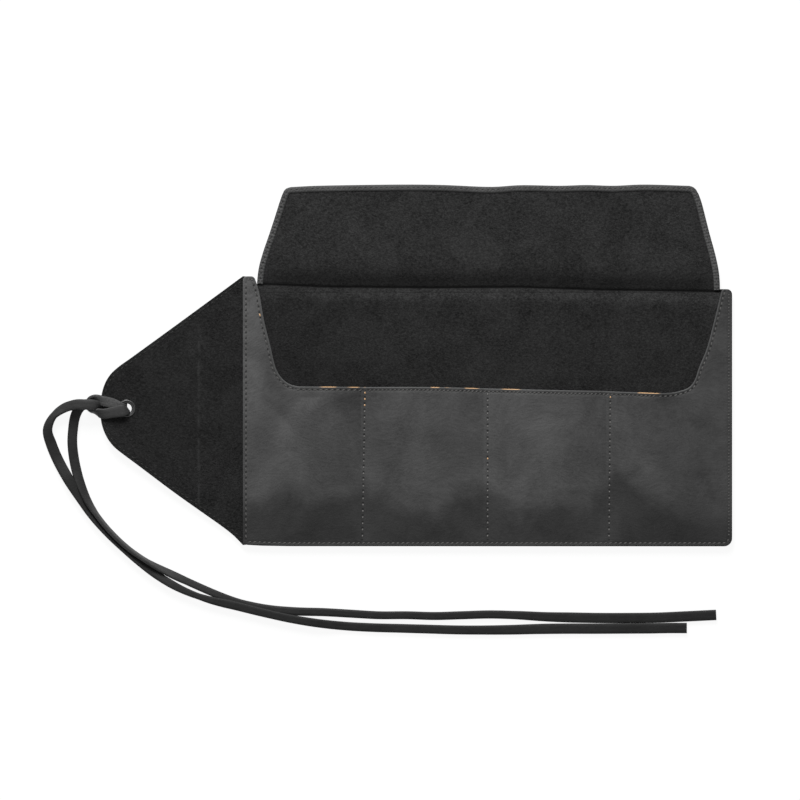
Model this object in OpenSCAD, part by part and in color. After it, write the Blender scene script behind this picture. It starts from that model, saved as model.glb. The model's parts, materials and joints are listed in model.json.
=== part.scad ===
// Leather roll for four wristwatches, lying open with its suede side up.
// Built from x = 0 at the fold of the wing and y = 0 at the fold of the flap.

/* [Sections] */
// Width of one watch section, from fold to fold
section_w = 79.4; // [70:0.1:90]
// Height of the panel, from the flap's fold to the bottom edge
panel_h = 166.5; // [150:0.5:190]
// Radius of the free bottom corner
corner_r = 5; // [2:0.5:8]
// Height of the left ear above the flap's fold
ear_left = 7.5; // [3:0.5:12]
// Height of the right ear above the flap's fold
ear_right = 1; // [0.5:0.5:8]
// Running gap between two stiff pieces at a fold
fold_gap = 0.3; // [0.2:0.05:0.5]

/* [Leather] */
// Thickness of the outer leather
outer_t = 1.6; // [1.2:0.1:2.4]
// Thickness of the suede lining
lining_t = 1; // [0.6:0.1:1.4]
// Thickness of the pocket leather
front_t = 1.4; // [1:0.1:2]
// Thickness of the turned hem of the flap
hem_t = 0.8; // [0.5:0.1:1.2]

/* [Pockets] */
// Open height at the middle of a pocket's mouth
pocket_gap = 7; // [5:0.5:8]
// Width that lies flat along each seam
seam_w = 2.8; // [2.8:0.1:3.5]
// Width that the leather beside the scoop takes to rise
scoop_rise = 3; // [1:0.5:6]

/* [Flap] */
// Length of the flap beyond its fold
flap_len = 66.4; // [50:0.2:80]
// Inset of the flap's side at the fold
flap_root_inset = 9.5; // [9:0.1:14]
// Inset of the flap's side at its free edge
flap_end_inset = 26.5; // [20:0.5:32]
// How far the flap's sides bow outwards
flap_bow = 2.1; // [0:0.1:3]
// Radius of the flap's free corners
flap_corner_r = 5; // [3:0.5:10]
// Clearance between the folded flap and the scoop that it lies in
flap_clear = 0.7; // [0.4:0.1:1.5]
// Width of the hem
hem_w = 3.4; // [2.5:0.1:5]

/* [Wing] */
// Length of the wing, from its fold to the tip
wing_len = 92; // [80:0.5:110]
// Width of the wing's tip before its corners are rounded
tip_w = 37.6; // [30:0.2:50]
// How far the tip's middle lies above the middle of the root
tip_shift = 1.5; // [-4:0.5:4]
// Length that each rounding takes from the edges of the tip
tip_round = 14.9; // [8:0.1:14.9]
// Height of the wing's fold above its suede
wing_axis_rise = 0.4; // [0.3:0.05:0.8]

/* [Eyelet] */
// Distance of the eyelet's centre from the wing's fold
eyelet_reach = 74.5; // [60:0.5:78]
// Radius of the hole
eyelet_hole_r = 3.5; // [3.4:0.1:4]
// Wall of the barrel
eyelet_wall = 0.7; // [0.5:0.1:1]
// Outer radius of the flange
eyelet_flange_r = 5.65; // [5.4:0.05:6]
// Height of the flange above the suede
eyelet_flange_h = 0.9; // [0.5:0.1:0.9]
// Thickness of the washer set into the back
washer_t = 0.4; // [0.3:0.1:0.6]
// Outer radius of the washer
washer_r = 5.4; // [5.3:0.1:6.5]
// Clearance round the barrel
barrel_clear = 0.1; // [0.05:0.05:0.2]

/* [Thread] */
// Length of one stitch
stitch_len = 2.8; // [2:0.1:3.2]
// Distance from one stitch to the next
stitch_pitch = 4; // [3.6:0.1:6]
// Width of the thread
thread_w = 0.7; // [0.5:0.05:0.8]
// Height of a stitch above the leather
thread_h = 0.25; // [0.15:0.05:0.25]
// Distance of a stitch row from the edge that it follows
row_inset = 2.2; // [2:0.1:2.4]

/* [Lace] */
// Width of the flat lace
lace_w = 6.8; // [5:0.1:7]
// Thickness of the lace
lace_t = 2; // [1.4:0.1:2]

/* [Hidden] */

sections = 4;
body_w = sections * section_w;
half_gap = fold_gap / 2;

// Levels of the layers, from the table up
lining_top = outer_t + lining_t;
seam_top = lining_top + front_t;
flap_top = lining_top + hem_t + thread_h;

// Folds: the sections roll about the top of their seams, and the flap folds over with a gap
roll_axis_z = seam_top;
flap_rest_gap = 0.3;
flap_axis_z = (lining_top + flap_top + flap_rest_gap) / 2;
wing_axis_z = lining_top + wing_axis_rise;
// Widest angle between two rolled sections, with a degree to spare
roll_turn = 101;

// The wing leans on the two strands of lace under its eyelet
lace_play = 0.3;
wing_lean = asin((lace_t + lace_play) / eyelet_reach);

// The scoop is the folded flap's outline with its clearance, so it follows the flap
mouth_drop = flap_len + flap_clear;

// Grid of the pocket leather: the lowest row of cells is the flat seam
pocket_rows = 14;
seam_steps = 3;
bend_steps = 6;
side_steps = 7;
pocket_row_h = (panel_h - seam_w - mouth_drop) / (pocket_rows - 1);

// The origin lies under the middle of the roll, without its lace
wing_left = -(wing_len * cos(wing_lean) + wing_axis_z * sin(wing_lean));
mid_x = (body_w + wing_left) / 2;
mid_y = (flap_len - panel_h) / 2;

outer_colour = [0.27, 0.27, 0.27];
suede_colour = [0.14, 0.14, 0.14];
front_colour = [0.30, 0.30, 0.30];
hem_colour = [0.36, 0.36, 0.37];
thread_colour = [0.42, 0.42, 0.42];
metal_colour = [0.45, 0.45, 0.46];
lace_colour = [0.20, 0.20, 0.20];

// Routes of the lace, in millimetres. It is folded in half through the eyelet: the loop comes
// up through the hole, and the two tails run under the wing, up past its tip and through the loop.
loop_w = 5;
loop_upper = [
    [-75.5, -76, 7.1], [-80, -75, 7.2], [-85, -72.8, 7.2], [-90, -71.2, 7], [-93, -71.2, 6.6],
    [-97, -73.2, 5], [-98.2, -77, 4]
];
loop_lower = [
    [-75.5, -80, 7.1], [-80, -80.6, 7.2], [-85, -81.6, 7.2], [-90, -82.2, 7], [-93, -81.6, 6.6],
    [-97, -79.2, 5], [-98.2, -75.5, 4]
];
long_under = [
    [-75, -74.6, 1.2], [-84, -74.6, 1.2], [-92.6, -75, 1.2], [-95.2, -75.4, 3.6], [-98, -75.5, 5.8],
    [-102, -75.5, 6.3]
];
short_under = [
    [-75, -81.8, 1.2], [-84, -81.8, 1.2], [-92.6, -80.6, 1.2], [-95.2, -78.2, 4.4], [-98, -75.9, 8],
    [-102, -75.5, 8.5]
];
tail_long = [
    [-102, -75.5, 6.3], [-105.5, -77.5, 4.8], [-108.5, -83, 2.4], [-110, -91, 1], [-110.5, -101, 1],
    [-109, -113, 1], [-106, -124.5, 1], [-101.5, -137, 1], [-94.5, -148.5, 1], [-86, -159.5, 1],
    [-75, -169.5, 1], [-63, -177.5, 1], [-49, -184.5, 1], [-33, -191.5, 1], [-17, -198.5, 1],
    [-1, -204.5, 1], [16, -208, 1], [34, -209.5, 1], [52, -210, 1], [70, -211, 1], [88, -212, 1],
    [106, -212, 1], [124, -212.5, 1], [142, -212, 1], [160, -211.5, 1], [178, -212, 1],
    [196, -213, 1], [214, -213.5, 1], [232, -214, 1], [250, -214, 1], [268, -214, 1],
    [286, -213, 1], [306.5, -212, 1]
];
tail_short = [
    [-102, -75.5, 8.5], [-108, -75.5, 7], [-116, -78, 3.8], [-123, -83.5, 1.6], [-126.5, -92, 1],
    [-125, -102, 1], [-119, -112, 1.4], [-112.5, -124, 3.2], [-106, -135, 3.2], [-98.5, -146, 3.2],
    [-90, -156, 3.2], [-80, -166, 3.2], [-68, -176.5, 3.2], [-54, -187, 3.2], [-39, -195.5, 3.2],
    [-23, -201.5, 3.2], [-6, -205.5, 3.2], [12, -210, 3.2], [30, -214, 3.2], [48, -217, 3],
    [66, -219, 1], [84, -220, 1], [102, -220.5, 1], [120, -221, 1], [138, -221.5, 1],
    [156, -222, 1], [174, -222, 1], [192, -221, 1], [210, -221, 1], [228, -221, 1],
    [246, -221, 1], [264, -221, 1], [276, -220.5, 1], [287.5, -220.5, 1]
];

// Points of a smooth bend that leaves a towards b and arrives at c, without its last point
function bend(a, b, c) = [for (i = [0:bend_steps - 1]) let (t = i / bend_steps)
    a * pow(1 - t, 2) + b * 2 * t * (1 - t) + c * pow(t, 2)];
function mirrored(points, width) = [for (i = [len(points) - 1:-1:0]) [width - points[i].x, points[i].y]];

// Inset of the flap's side at a distance d from the fold, and of the scoop below it
function flap_side(d) = let (t = d / flap_len)
    flap_root_inset + (flap_end_inset - flap_root_inset) * t - 4 * flap_bow * t * (1 - t);
function scoop_side(d) = flap_side(d) - flap_clear;

function flap_half(inset) = let (
        top = flap_len - inset,
        bend_from = top - flap_corner_r,
        corner = [flap_side(top) + inset, top]
    ) concat(
        [for (i = [0:side_steps - 1]) let (d = half_gap + (bend_from - half_gap) * i / side_steps)
            [flap_side(d) + inset, d]],
        bend([flap_side(bend_from) + inset, bend_from], corner, corner + [flap_corner_r, 0]),
        [corner + [flap_corner_r, 0]]
    );

// The edge of the pocket leather round half of the scoop, from the ear to the foot of the scoop
function scoop_edge(ear) = let (
        bend_from = mouth_drop - flap_corner_r,
        corner = [scoop_side(mouth_drop), -mouth_drop]
    ) concat(
        [for (i = [0:side_steps - 1]) let (d = -ear + (bend_from + ear) * i / side_steps)
            [scoop_side(d), -d]],
        bend([scoop_side(bend_from), -bend_from], corner, corner + [flap_corner_r, 0]),
        [corner + [flap_corner_r, 0]]
    );
scoop_foot = scoop_side(mouth_drop) + flap_corner_r;

// How far the bottom edge rises at x from a corner of radius r
function corner_rise(x, r) = x < r ? r - sqrt(pow(r, 2) - pow(r - x, 2)) : 0;

// Rise of the pocket leather over its seam level at x from the outer seam and depth d below the fold.
// The first row below the scoop stays flat, because its stitches lie there.
function pocket_rise(x, d, at_end) = let (
        deep = panel_h - seam_w - mouth_drop,
        t = (d - mouth_drop) / deep,
        below_row = max(0, d - mouth_drop - pocket_row_h) / (deep - pocket_row_h),
        foot = at_end ? scoop_foot + scoop_rise - seam_w : 0,
        from = seam_w + foot * pow(max(0, 1 - below_row), 3),
        u = (x - from) / (section_w - seam_w - from)
    )
    t < 0 || t > 1 || u < 0 || u > 1 ? 0 : pocket_gap * 4 * u * (1 - u) * (1 - pow(t, 4));

// Places of the columns of the grid under the mouth, one stitch apart
function mouth_columns(from) = let (
        to = section_w - seam_w,
        count = round((to - from) / stitch_pitch)
    ) [for (i = [0:count]) from + (to - from) * i / count];

// One closed sheet of leather below the upper edge, which runs from left to right
module pocket_sheet(high, corner, at_end) {
    cols = len(high);
    count = cols * (pocket_rows + 1);
    low = [for (p = high) [p.x, -panel_h + corner_rise(p.x, corner)]];
    seam = [for (p = low) p + [0, seam_w]];
    plan = concat(low, [for (j = [0:pocket_rows - 1], i = [0:cols - 1])
        seam[i] + (high[i] - seam[i]) * j / (pocket_rows - 1)]);
    under = [for (p = plan) [p.x, p.y, lining_top + pocket_rise(p.x, -p.y, at_end)]];
    over = [for (p = under) p + [0, 0, front_t]];
    // Numbers of the points round the sheet's edge
    rim = concat(
        [for (i = [0:cols - 1]) i],
        [for (j = [1:pocket_rows]) j * cols + cols - 1],
        [for (i = [cols - 2:-1:0]) pocket_rows * cols + i],
        [for (j = [pocket_rows - 1:-1:1]) j * cols]
    );
    cells = [for (j = [0:pocket_rows - 1], i = [0:cols - 2]) j * cols + i];
    faces = concat(
        [for (a = cells) [a, a + 1, a + cols + 1]],
        [for (a = cells) [a, a + cols + 1, a + cols]],
        [for (a = cells) [count + a, count + a + cols + 1, count + a + 1]],
        [for (a = cells) [count + a, count + a + cols, count + a + cols + 1]],
        [for (k = [0:len(rim) - 1]) let (a = rim[k], b = rim[(k + 1) % len(rim)]) [a, count + b, b]],
        [for (k = [0:len(rim) - 1]) let (a = rim[k], b = rim[(k + 1) % len(rim)]) [a, count + a, count + b]]
    );
    polyhedron(concat(under, over), faces);
}

// Pocket leather of an end section, with its column and ear at x = 0
module end_front(ear, corner) {
    mouth = mouth_columns(scoop_foot);
    pocket_sheet(concat(
        [for (i = [0:seam_steps]) [seam_w * i / seam_steps, ear]],
        scoop_edge(ear),
        [for (i = [1:len(mouth) - 1]) [mouth[i], -mouth_drop]],
        [[section_w - half_gap, -mouth_drop]]
    ), corner, true);
}

module middle_front() {
    xs = concat([half_gap], mouth_columns(seam_w), [section_w - half_gap]);
    pocket_sheet([for (x = xs) [x, -mouth_drop]], 0, false);
}

module pocket_front(s) {
    color(front_colour) {
        if (s == 1) end_front(ear_left, 0);
        if (s == 2 || s == 3) translate([(s - 1) * section_w, 0, 0]) middle_front();
        if (s == 4) translate([body_w, 0, 0]) mirror([1, 0, 0]) end_front(ear_right, corner_r);
    }
}

// Outline of the whole panel, with both ears
module panel_outline() {
    left_ear = scoop_side(-ear_left);
    right_ear = scoop_side(-ear_right);
    corner = [for (i = [0:bend_steps]) let (a = 90 * i / bend_steps)
        [body_w - corner_r + corner_r * sin(a), -panel_h + corner_r - corner_r * cos(a)]];
    polygon(concat(
        [[0, -panel_h]],
        corner,
        [[body_w, ear_right], [body_w - right_ear, ear_right],
         [body_w - scoop_side(half_gap), -half_gap], [scoop_side(half_gap), -half_gap],
         [left_ear, ear_left], [0, ear_left]]
    ));
}

module flap_outline(inset) {
    half = flap_half(inset);
    polygon(concat(half, mirrored(half, body_w)));
}

// Strip of the plan that one section takes between its folds
module section_strip(s) {
    left = (s == 1 ? -half_gap : half_gap) + (s - 1) * section_w;
    right = (s == sections ? half_gap : -half_gap) + s * section_w;
    translate([left, -2 * panel_h]) square([right - left, 4 * panel_h]);
}

module panel_layer(s, z, t) {
    translate([0, 0, z]) linear_extrude(t) intersection() {
        panel_outline();
        section_strip(s);
    }
}

module back_leather(s) {
    color(outer_colour) panel_layer(s, 0, outer_t);
}

module lining(s) {
    color(suede_colour) panel_layer(s, outer_t, lining_t);
}

// Space that one section of the flap may fill: its sides lean away from the folds, so that
// the folded flap clears its neighbours when the sections are rolled up
module flap_room(s) {
    lean_top = 2 * flap_axis_z - roll_axis_z;
    lean = lean_top * tan(roll_turn / 2);
    left = (s - 1) * section_w;
    right = s * section_w;
    left_gap = s == 1 ? 0 : half_gap;
    right_gap = s == sections ? 0 : half_gap;
    left_lean = s == 1 ? 0 : lean;
    right_lean = s == sections ? 0 : lean;
    translate([0, flap_len + 1, 0]) rotate([90, 0, 0]) linear_extrude(flap_len + 1) polygon([
        [left + left_gap + left_lean, 0], [right - right_gap - right_lean, 0],
        [right - right_gap, lean_top], [right - right_gap, seam_top],
        [left + left_gap, seam_top], [left + left_gap, lean_top]
    ]);
}

module flap_layer(s, z, t) {
    intersection() {
        translate([0, 0, z]) linear_extrude(t) flap_outline(0);
        flap_room(s);
    }
}

module flap_leather(s) {
    color(outer_colour) flap_layer(s, 0, outer_t);
}

module flap_lining(s) {
    color(suede_colour) flap_layer(s, outer_t, lining_t);
}

module flap_hem(s) {
    color(hem_colour) translate([0, 0, lining_top]) linear_extrude(hem_t) intersection() {
        difference() {
            flap_outline(0);
            flap_outline(hem_w);
        }
        section_strip(s);
    }
}

// Stitches laid end to end along a path, each flat on the level z, which may be a list of levels
module stitch_row(path, z) {
    for (i = [0:len(path) - 2]) {
        run = path[i + 1] - path[i];
        count = max(1, round(norm(run) / stitch_pitch));
        for (k = [0:count - 1]) {
            place = path[i] + run * (k + 0.5) / count;
            translate([place.x, place.y, z]) rotate([0, 0, atan2(run.y, run.x)])
                translate([-stitch_len / 2, -thread_w / 2, 0]) cube([stitch_len, thread_w, thread_h]);
        }
    }
}

// Row just inside the scoop's side and corner, each step as long as one stitch
module scoop_row(ear) {
    from = -ear + row_inset;
    to = mouth_drop - row_inset;
    count = round((to - from) / stitch_pitch);
    path = [for (i = [0:count]) let (d = from + (to - from) * i / count) [scoop_side(d) - row_inset, -d]];
    stitch_row(concat(path, [[scoop_foot, -mouth_drop - row_inset]]), seam_top);
}

// Row under the mouth, one stitch in each cell of the leather's grid, leaning with it
module mouth_row(from, at_end) {
    lift = 0.02;
    xs = mouth_columns(from);
    for (k = [0:len(xs) - 2]) {
        a = pocket_rise(xs[k], mouth_drop, at_end);
        b = pocket_rise(xs[k + 1], mouth_drop, at_end);
        step = xs[k + 1] - xs[k];
        translate([xs[k] + step / 2, -mouth_drop - row_inset, seam_top + (a + b) / 2 + lift])
            rotate([0, -atan2(b - a, step), 0])
            translate([-stitch_len / 2, -thread_w / 2, 0]) cube([stitch_len, thread_w, thread_h]);
    }
}

module end_rows(ear) {
    side = [row_inset, ear - row_inset];
    stitch_row([side, [row_inset, -panel_h + corner_r + row_inset]], seam_top);
    scoop_row(ear);
    mouth_row(scoop_foot, true);
}

module panel_stitching(s) {
    bottom = -panel_h + row_inset;
    left = (s - 1) * section_w + (s == 1 ? corner_r : row_inset);
    right = s * section_w - (s == sections ? corner_r : row_inset);
    divider = s * section_w - row_inset / 2;
    color(thread_colour) {
        stitch_row([[left, bottom], [right, bottom]], seam_top);
        if (s < sections)
            stitch_row([[divider, bottom + row_inset], [divider, -mouth_drop - row_inset]], seam_top);
        if (s == 1) end_rows(ear_left);
        if (s == 2 || s == 3) translate([(s - 1) * section_w, 0, 0])
            mouth_row(seam_w, false);
        if (s == 4) translate([body_w, 0, 0]) mirror([1, 0, 0]) end_rows(ear_right);
    }
}

module flap_stitching(s) {
    middle = hem_w / 2;
    end_row = flap_len - middle;
    side_from = flap_side(end_row) + flap_corner_r;
    left = s == 1 ? side_from : (s - 1) * section_w + stitch_pitch - stitch_len;
    right = s == sections ? body_w - side_from : s * section_w - stitch_pitch + stitch_len;
    count = round((flap_len - flap_corner_r) / stitch_pitch);
    side = [for (i = [0:count]) let (d = middle + (flap_len - middle - flap_corner_r) * i / count)
        [flap_side(d) + middle, d]];
    color(thread_colour) {
        stitch_row([[left, end_row], [right, end_row]], lining_top + hem_t);
        if (s == 1) stitch_row(side, lining_top + hem_t);
        if (s == sections) stitch_row(mirrored(side, body_w), lining_top + hem_t);
    }
}

// Turns the wing up about its fold until it leans on the lace
module wing_at_rest() {
    translate([0, 0, wing_axis_z]) rotate([0, wing_lean, 0]) translate([0, 0, -wing_axis_z]) children();
}

tip_y = (ear_left - panel_h) / 2 + tip_shift;

function wing_points(inset) = let (
        root_top = [-half_gap, ear_left - 1.3 * inset],
        root_low = [-half_gap, -panel_h + 1.3 * inset],
        top = [-wing_len + inset, tip_y + tip_w / 2 - inset * 0.5],
        low = [-wing_len + inset, tip_y - tip_w / 2 + inset * 0.5],
        up_edge = (root_top - top) / norm(root_top - top),
        low_edge = (root_low - low) / norm(root_low - low)
    ) concat(
        [root_top],
        bend(top + up_edge * tip_round, top, top - [0, tip_round]),
        bend(low + [0, tip_round], low, low + low_edge * tip_round),
        [low + low_edge * tip_round, root_low]
    );

module wing_layer(z, t, bore_r) {
    wing_at_rest() difference() {
        translate([0, 0, z]) linear_extrude(t) polygon(wing_points(0));
        translate([-eyelet_reach, tip_y, z - 1]) cylinder(r = bore_r, h = t + 2, $fn = 48);
    }
}

barrel_r = eyelet_hole_r + eyelet_wall;

module wing_leather() {
    color(outer_colour) difference() {
        wing_layer(0, outer_t, barrel_r + barrel_clear);
        wing_at_rest() translate([-eyelet_reach, tip_y, -1])
            cylinder(r = washer_r + barrel_clear, h = washer_t + 1, $fn = 48);
    }
}

module wing_lining() {
    color(suede_colour) wing_layer(outer_t, lining_t, barrel_r + barrel_clear);
}

module wing_stitching() {
    edge = wing_points(row_inset);
    root = [-half_gap - row_inset, 0];
    color(thread_colour) wing_at_rest() stitch_row(concat([edge[0] + root],
        [for (i = [1:len(edge) - 2]) edge[i]], [edge[len(edge) - 1] + root]), lining_top);
}

module eyelet() {
    color(metal_colour) wing_at_rest() translate([-eyelet_reach, tip_y, 0]) rotate_extrude($fn = 48) polygon([
        [eyelet_hole_r, 0], [barrel_r, 0], [barrel_r, lining_top], [eyelet_flange_r, lining_top],
        [eyelet_flange_r, lining_top + eyelet_flange_h * 0.4],
        [eyelet_flange_r - eyelet_wall / 2, lining_top + eyelet_flange_h * 0.8],
        [barrel_r, lining_top + eyelet_flange_h],
        [eyelet_hole_r + eyelet_wall / 3, lining_top + eyelet_flange_h * 0.8],
        [eyelet_hole_r, lining_top + eyelet_flange_h * 0.4]
    ]);
}

module eyelet_washer() {
    color(metal_colour) wing_at_rest() translate([-eyelet_reach, tip_y, 0]) difference() {
        cylinder(r = washer_r, h = washer_t, $fn = 48);
        translate([0, 0, -1]) cylinder(r = barrel_r, h = washer_t + 2, $fn = 48);
    }
}

// Flat strip along a route, with cut corners; its first and last faces may be turned
function unit(v) = v / norm(v);
function route_turn(route, i) = unit(route[min(i + 1, len(route) - 1)] - route[max(i - 1, 0)]);
function strip_section(w) = let (a = w / 2, b = lace_t / 2, c = lace_t / 4)
    [[a, -b + c], [a, b - c], [a - c, b], [-a + c, b], [-a, b - c], [-a, -b + c], [-a + c, -b], [a - c, -b]];

module strip(route, w, first = undef, last = undef) {
    section = strip_section(w);
    sides = len(section);
    end = len(route) - 1;
    points = [for (i = [0:end]) let (
            given = i == 0 ? first : i == end ? last : undef,
            way = is_undef(given) ? route_turn(route, i) : given,
            across = unit([-way.y, way.x, 0]),
            up = cross(way, across)
        ) for (p = section) route[i] + across * p.x + up * p.y];
    cells = [for (i = [0:end - 1], k = [0:sides - 1]) [i * sides + k, i * sides + (k + 1) % sides]];
    faces = concat(
        [[for (k = [0:sides - 1]) k]],
        [for (c = cells) [c[0], c[0] + sides, c[1] + sides]],
        [for (c = cells) [c[0], c[1] + sides, c[1]]],
        [[for (k = [sides - 1:-1:0]) end * sides + k]]
    );
    polyhedron(points, faces);
}

leftwards = [-1, 0, 0];

// Middle of the lace: the loop on the wing, its two strands in the eyelet and the runs below
module lace_knot() {
    strand_r = eyelet_hole_r - lace_play;
    strand_cut = strand_r + 0.8;
    low = 1.2;
    high = 7;
    color(lace_colour) union() {
        strip(loop_upper, loop_w);
        strip(loop_lower, loop_w);
        strip(long_under, lace_w, undef, leftwards);
        strip(short_under, lace_w, undef, leftwards);
        intersection() {
            translate([-eyelet_reach, tip_y, low]) cylinder(r = strand_r, h = high - low, $fn = 24);
            translate([-eyelet_reach - strand_r, tip_y - strand_r, low])
                cube([strand_cut, 2 * strand_r, high - low]);
        }
    }
}

module lace_tail_long() {
    color(lace_colour) strip(tail_long, lace_w, leftwards);
}

module lace_tail_short() {
    color(lace_colour) strip(tail_short, lace_w, leftwards);
}

module placed() {
    translate([-mid_x, -mid_y, 0]) children();
}

placed() {
    for (s = [1:sections]) {
        back_leather(s);
        lining(s);
        pocket_front(s);
        panel_stitching(s);
        flap_leather(s);
        flap_lining(s);
        flap_hem(s);
        flap_stitching(s);
    }
    wing_leather();
    wing_lining();
    wing_stitching();
    eyelet();
    eyelet_washer();
    lace_knot();
    lace_tail_long();
    lace_tail_short();
}
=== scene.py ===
# Leather watch roll, lying open and empty, seen from straight above
import json
import math

import bmesh
import bpy
import numpy as np
from mathutils import Matrix, Vector, noise


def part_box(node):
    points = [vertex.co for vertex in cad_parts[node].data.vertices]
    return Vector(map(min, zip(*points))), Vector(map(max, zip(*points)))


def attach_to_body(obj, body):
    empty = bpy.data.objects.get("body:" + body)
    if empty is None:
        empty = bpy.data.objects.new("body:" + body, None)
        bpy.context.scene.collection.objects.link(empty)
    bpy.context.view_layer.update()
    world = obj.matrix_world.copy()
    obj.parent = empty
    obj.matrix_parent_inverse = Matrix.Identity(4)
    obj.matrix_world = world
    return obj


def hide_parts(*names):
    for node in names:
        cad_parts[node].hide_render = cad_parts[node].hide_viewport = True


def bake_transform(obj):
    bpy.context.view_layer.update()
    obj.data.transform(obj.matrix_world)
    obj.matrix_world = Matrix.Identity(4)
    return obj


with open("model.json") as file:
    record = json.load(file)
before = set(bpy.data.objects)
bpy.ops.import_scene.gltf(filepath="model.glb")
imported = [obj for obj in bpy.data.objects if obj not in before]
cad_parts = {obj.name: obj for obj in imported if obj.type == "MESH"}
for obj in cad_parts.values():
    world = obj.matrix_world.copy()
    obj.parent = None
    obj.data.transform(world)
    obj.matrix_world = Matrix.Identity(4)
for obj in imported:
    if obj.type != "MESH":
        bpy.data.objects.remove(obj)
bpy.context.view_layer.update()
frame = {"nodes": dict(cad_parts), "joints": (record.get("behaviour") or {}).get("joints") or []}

# Everything is modelled in millimetres from the corner where the wing's fold meets the flap's fold
mm = 0.001
jointAt = {j["name"]: Vector(j["pos_m"]) for j in frame["joints"]}
zeroX = jointAt["wing_fold"].x
zeroY = jointAt["flap_fold_1"].y
toFrame = Matrix.Translation((zeroX, zeroY, 0)) @ Matrix.Scale(mm, 4)

rollFolds = [(jointAt[f"roll_fold_{i}"].x - zeroX) / mm for i in (1, 2, 3)]
rollAxisZ = jointAt["roll_fold_1"].z / mm
wingAxisZ = jointAt["wing_fold"].z / mm
panelRight = (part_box("back_leather_4")[1].x - zeroX) / mm
panelLow = (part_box("back_leather_1")[0].y - zeroY) / mm
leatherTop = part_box("back_leather_1")[1].z / mm
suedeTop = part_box("lining_1")[1].z / mm
seamTop = rollAxisZ
print("frame:", len(frame["nodes"]), "nodes, folds at", [round(x, 1) for x in rollFolds], "mm")

bend = {
    "rollHalf": 3.0,   # half the strip that bends where two sections roll
    "flapHalf": 3.0,   # half the strip that bends where the flap folds
    "wingHalf": 2.2,   # half the strip that bends where the wing turns up
    "wingLean": math.radians(1.769),
}
# Each piece of the panel reaches from one split to the next, and the flap's are cut at the folds
pieceSplits = [0.0] + [x - bend["rollHalf"] for x in rollFolds] + [panelRight + 10]
flapCuts = [0] + rollFolds + [panelRight]


def addObject(name, data):
    made = bpy.data.objects.new(name, data)
    bpy.context.scene.collection.objects.link(made)
    return made


# Camera: "span" is the width of what it sees on the table
view = {"height": 3.0, "span": 0.5184, "aim": (-0.01104, -0.02253), "sensor": 36.0, "clip": (0.1, 50)}


def addCamera():
    data = bpy.data.cameras.new("camera")
    data.sensor_width = view["sensor"]
    data.lens = view["sensor"] * view["height"] / view["span"]
    data.clip_start, data.clip_end = view["clip"]
    camera = addObject("camera", data)
    camera.location = (*view["aim"], view["height"])
    bpy.context.scene.camera = camera


addCamera()
print("camera: straight down from", view["height"], "m")


# Node helpers: sockets take values or links, and a new node its settings first
def fill(tree, node, inputs):
    for key, value in inputs.items():
        if isinstance(value, bpy.types.NodeSocket):
            tree.links.new(value, node.inputs[key])
        else:
            node.inputs[key].default_value = value


def put(tree, kind, inputs=None, **settings):
    made = tree.nodes.new(kind)
    for key, value in settings.items():
        setattr(made, key, value)
    fill(tree, made, inputs or {})
    return made


def calc(tree, operation, *values):
    return put(tree, "ShaderNodeMath", dict(enumerate(values)), operation=operation).outputs[0]


def scaled(tree, vector, factor):
    return put(tree, "ShaderNodeVectorMath", {0: vector, "Scale": factor}, operation="SCALE").outputs[0]


def remap(tree, value, fromMin, fromMax, toMin=0.0, toMax=1.0, **settings):
    return put(tree, "ShaderNodeMapRange", {
        "Value": value, "From Min": fromMin, "From Max": fromMax, "To Min": toMin, "To Max": toMax},
        **settings).outputs[0]


def noiseAt(tree, place, scale, detail, roughness=0.5, distortion=0.0):
    return put(tree, "ShaderNodeTexNoise", {
        "Vector": place, "Scale": scale, "Detail": detail, "Roughness": roughness,
        "Distortion": distortion}).outputs


def stretched(tree, place, turn, scale):
    return put(tree, "ShaderNodeMapping", {
        "Vector": place, "Rotation": (0, 0, turn), "Scale": scale}).outputs[0]


def blendColours(tree, factor, a, b):
    return put(tree, "ShaderNodeMix", {0: factor, 6: a, 7: b}, data_type="RGBA").outputs[2]


def grey(level, warm=0.0):
    return (level * (1 + warm), level, level * (1 - warm), 1)


def blendGreys(tree, factor, low, high, warm=(0.0, 0.0)):
    return blendColours(tree, factor, grey(low, warm[0]), grey(high, warm[1]))


def startGroup(name, given, results):
    group = bpy.data.node_groups.new(name, "ShaderNodeTree")
    group.interface.new_socket(given, in_out="INPUT", socket_type="NodeSocketVector")
    for label in results:
        group.interface.new_socket(label, in_out="OUTPUT", socket_type="NodeSocketFloat")
    return group, group.nodes.new("NodeGroupInput").outputs[given], group.nodes.new("NodeGroupOutput")


def useGroup(tree, group, inputs):
    return put(tree, "ShaderNodeGroup", inputs, node_tree=group).outputs


# Nap of the suede: fine tufts of fibre, brushed into patches that lie this way and that
def makeNapGroup():
    group, place, out = startGroup("suedeNap", "Place", ("Shade", "Height"))
    tufts = []
    for turn, size in ((0.5, 1.0), (-0.9, 1.7)):
        laid = stretched(group, place, turn, (560 * size, 860 * size, 700))
        tufts.append(noiseAt(group, laid, 1.0, 3.0, 0.7, 0.8)[0])
    patches = noiseAt(group, place, 42.0, 4.0, 0.55, 0.6)[0]
    sharp = remap(group, calc(group, "MULTIPLY", *tufts), 0.15, 0.36)
    soft = remap(group, patches, 0.34, 0.66)
    shade = calc(group, "MULTIPLY_ADD", soft, 0.24, calc(group, "MULTIPLY", sharp, 0.76))
    fill(group, out, {"Shade": shade, "Height": calc(group, "MULTIPLY_ADD", soft, 1.5, sharp)})
    return group


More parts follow.
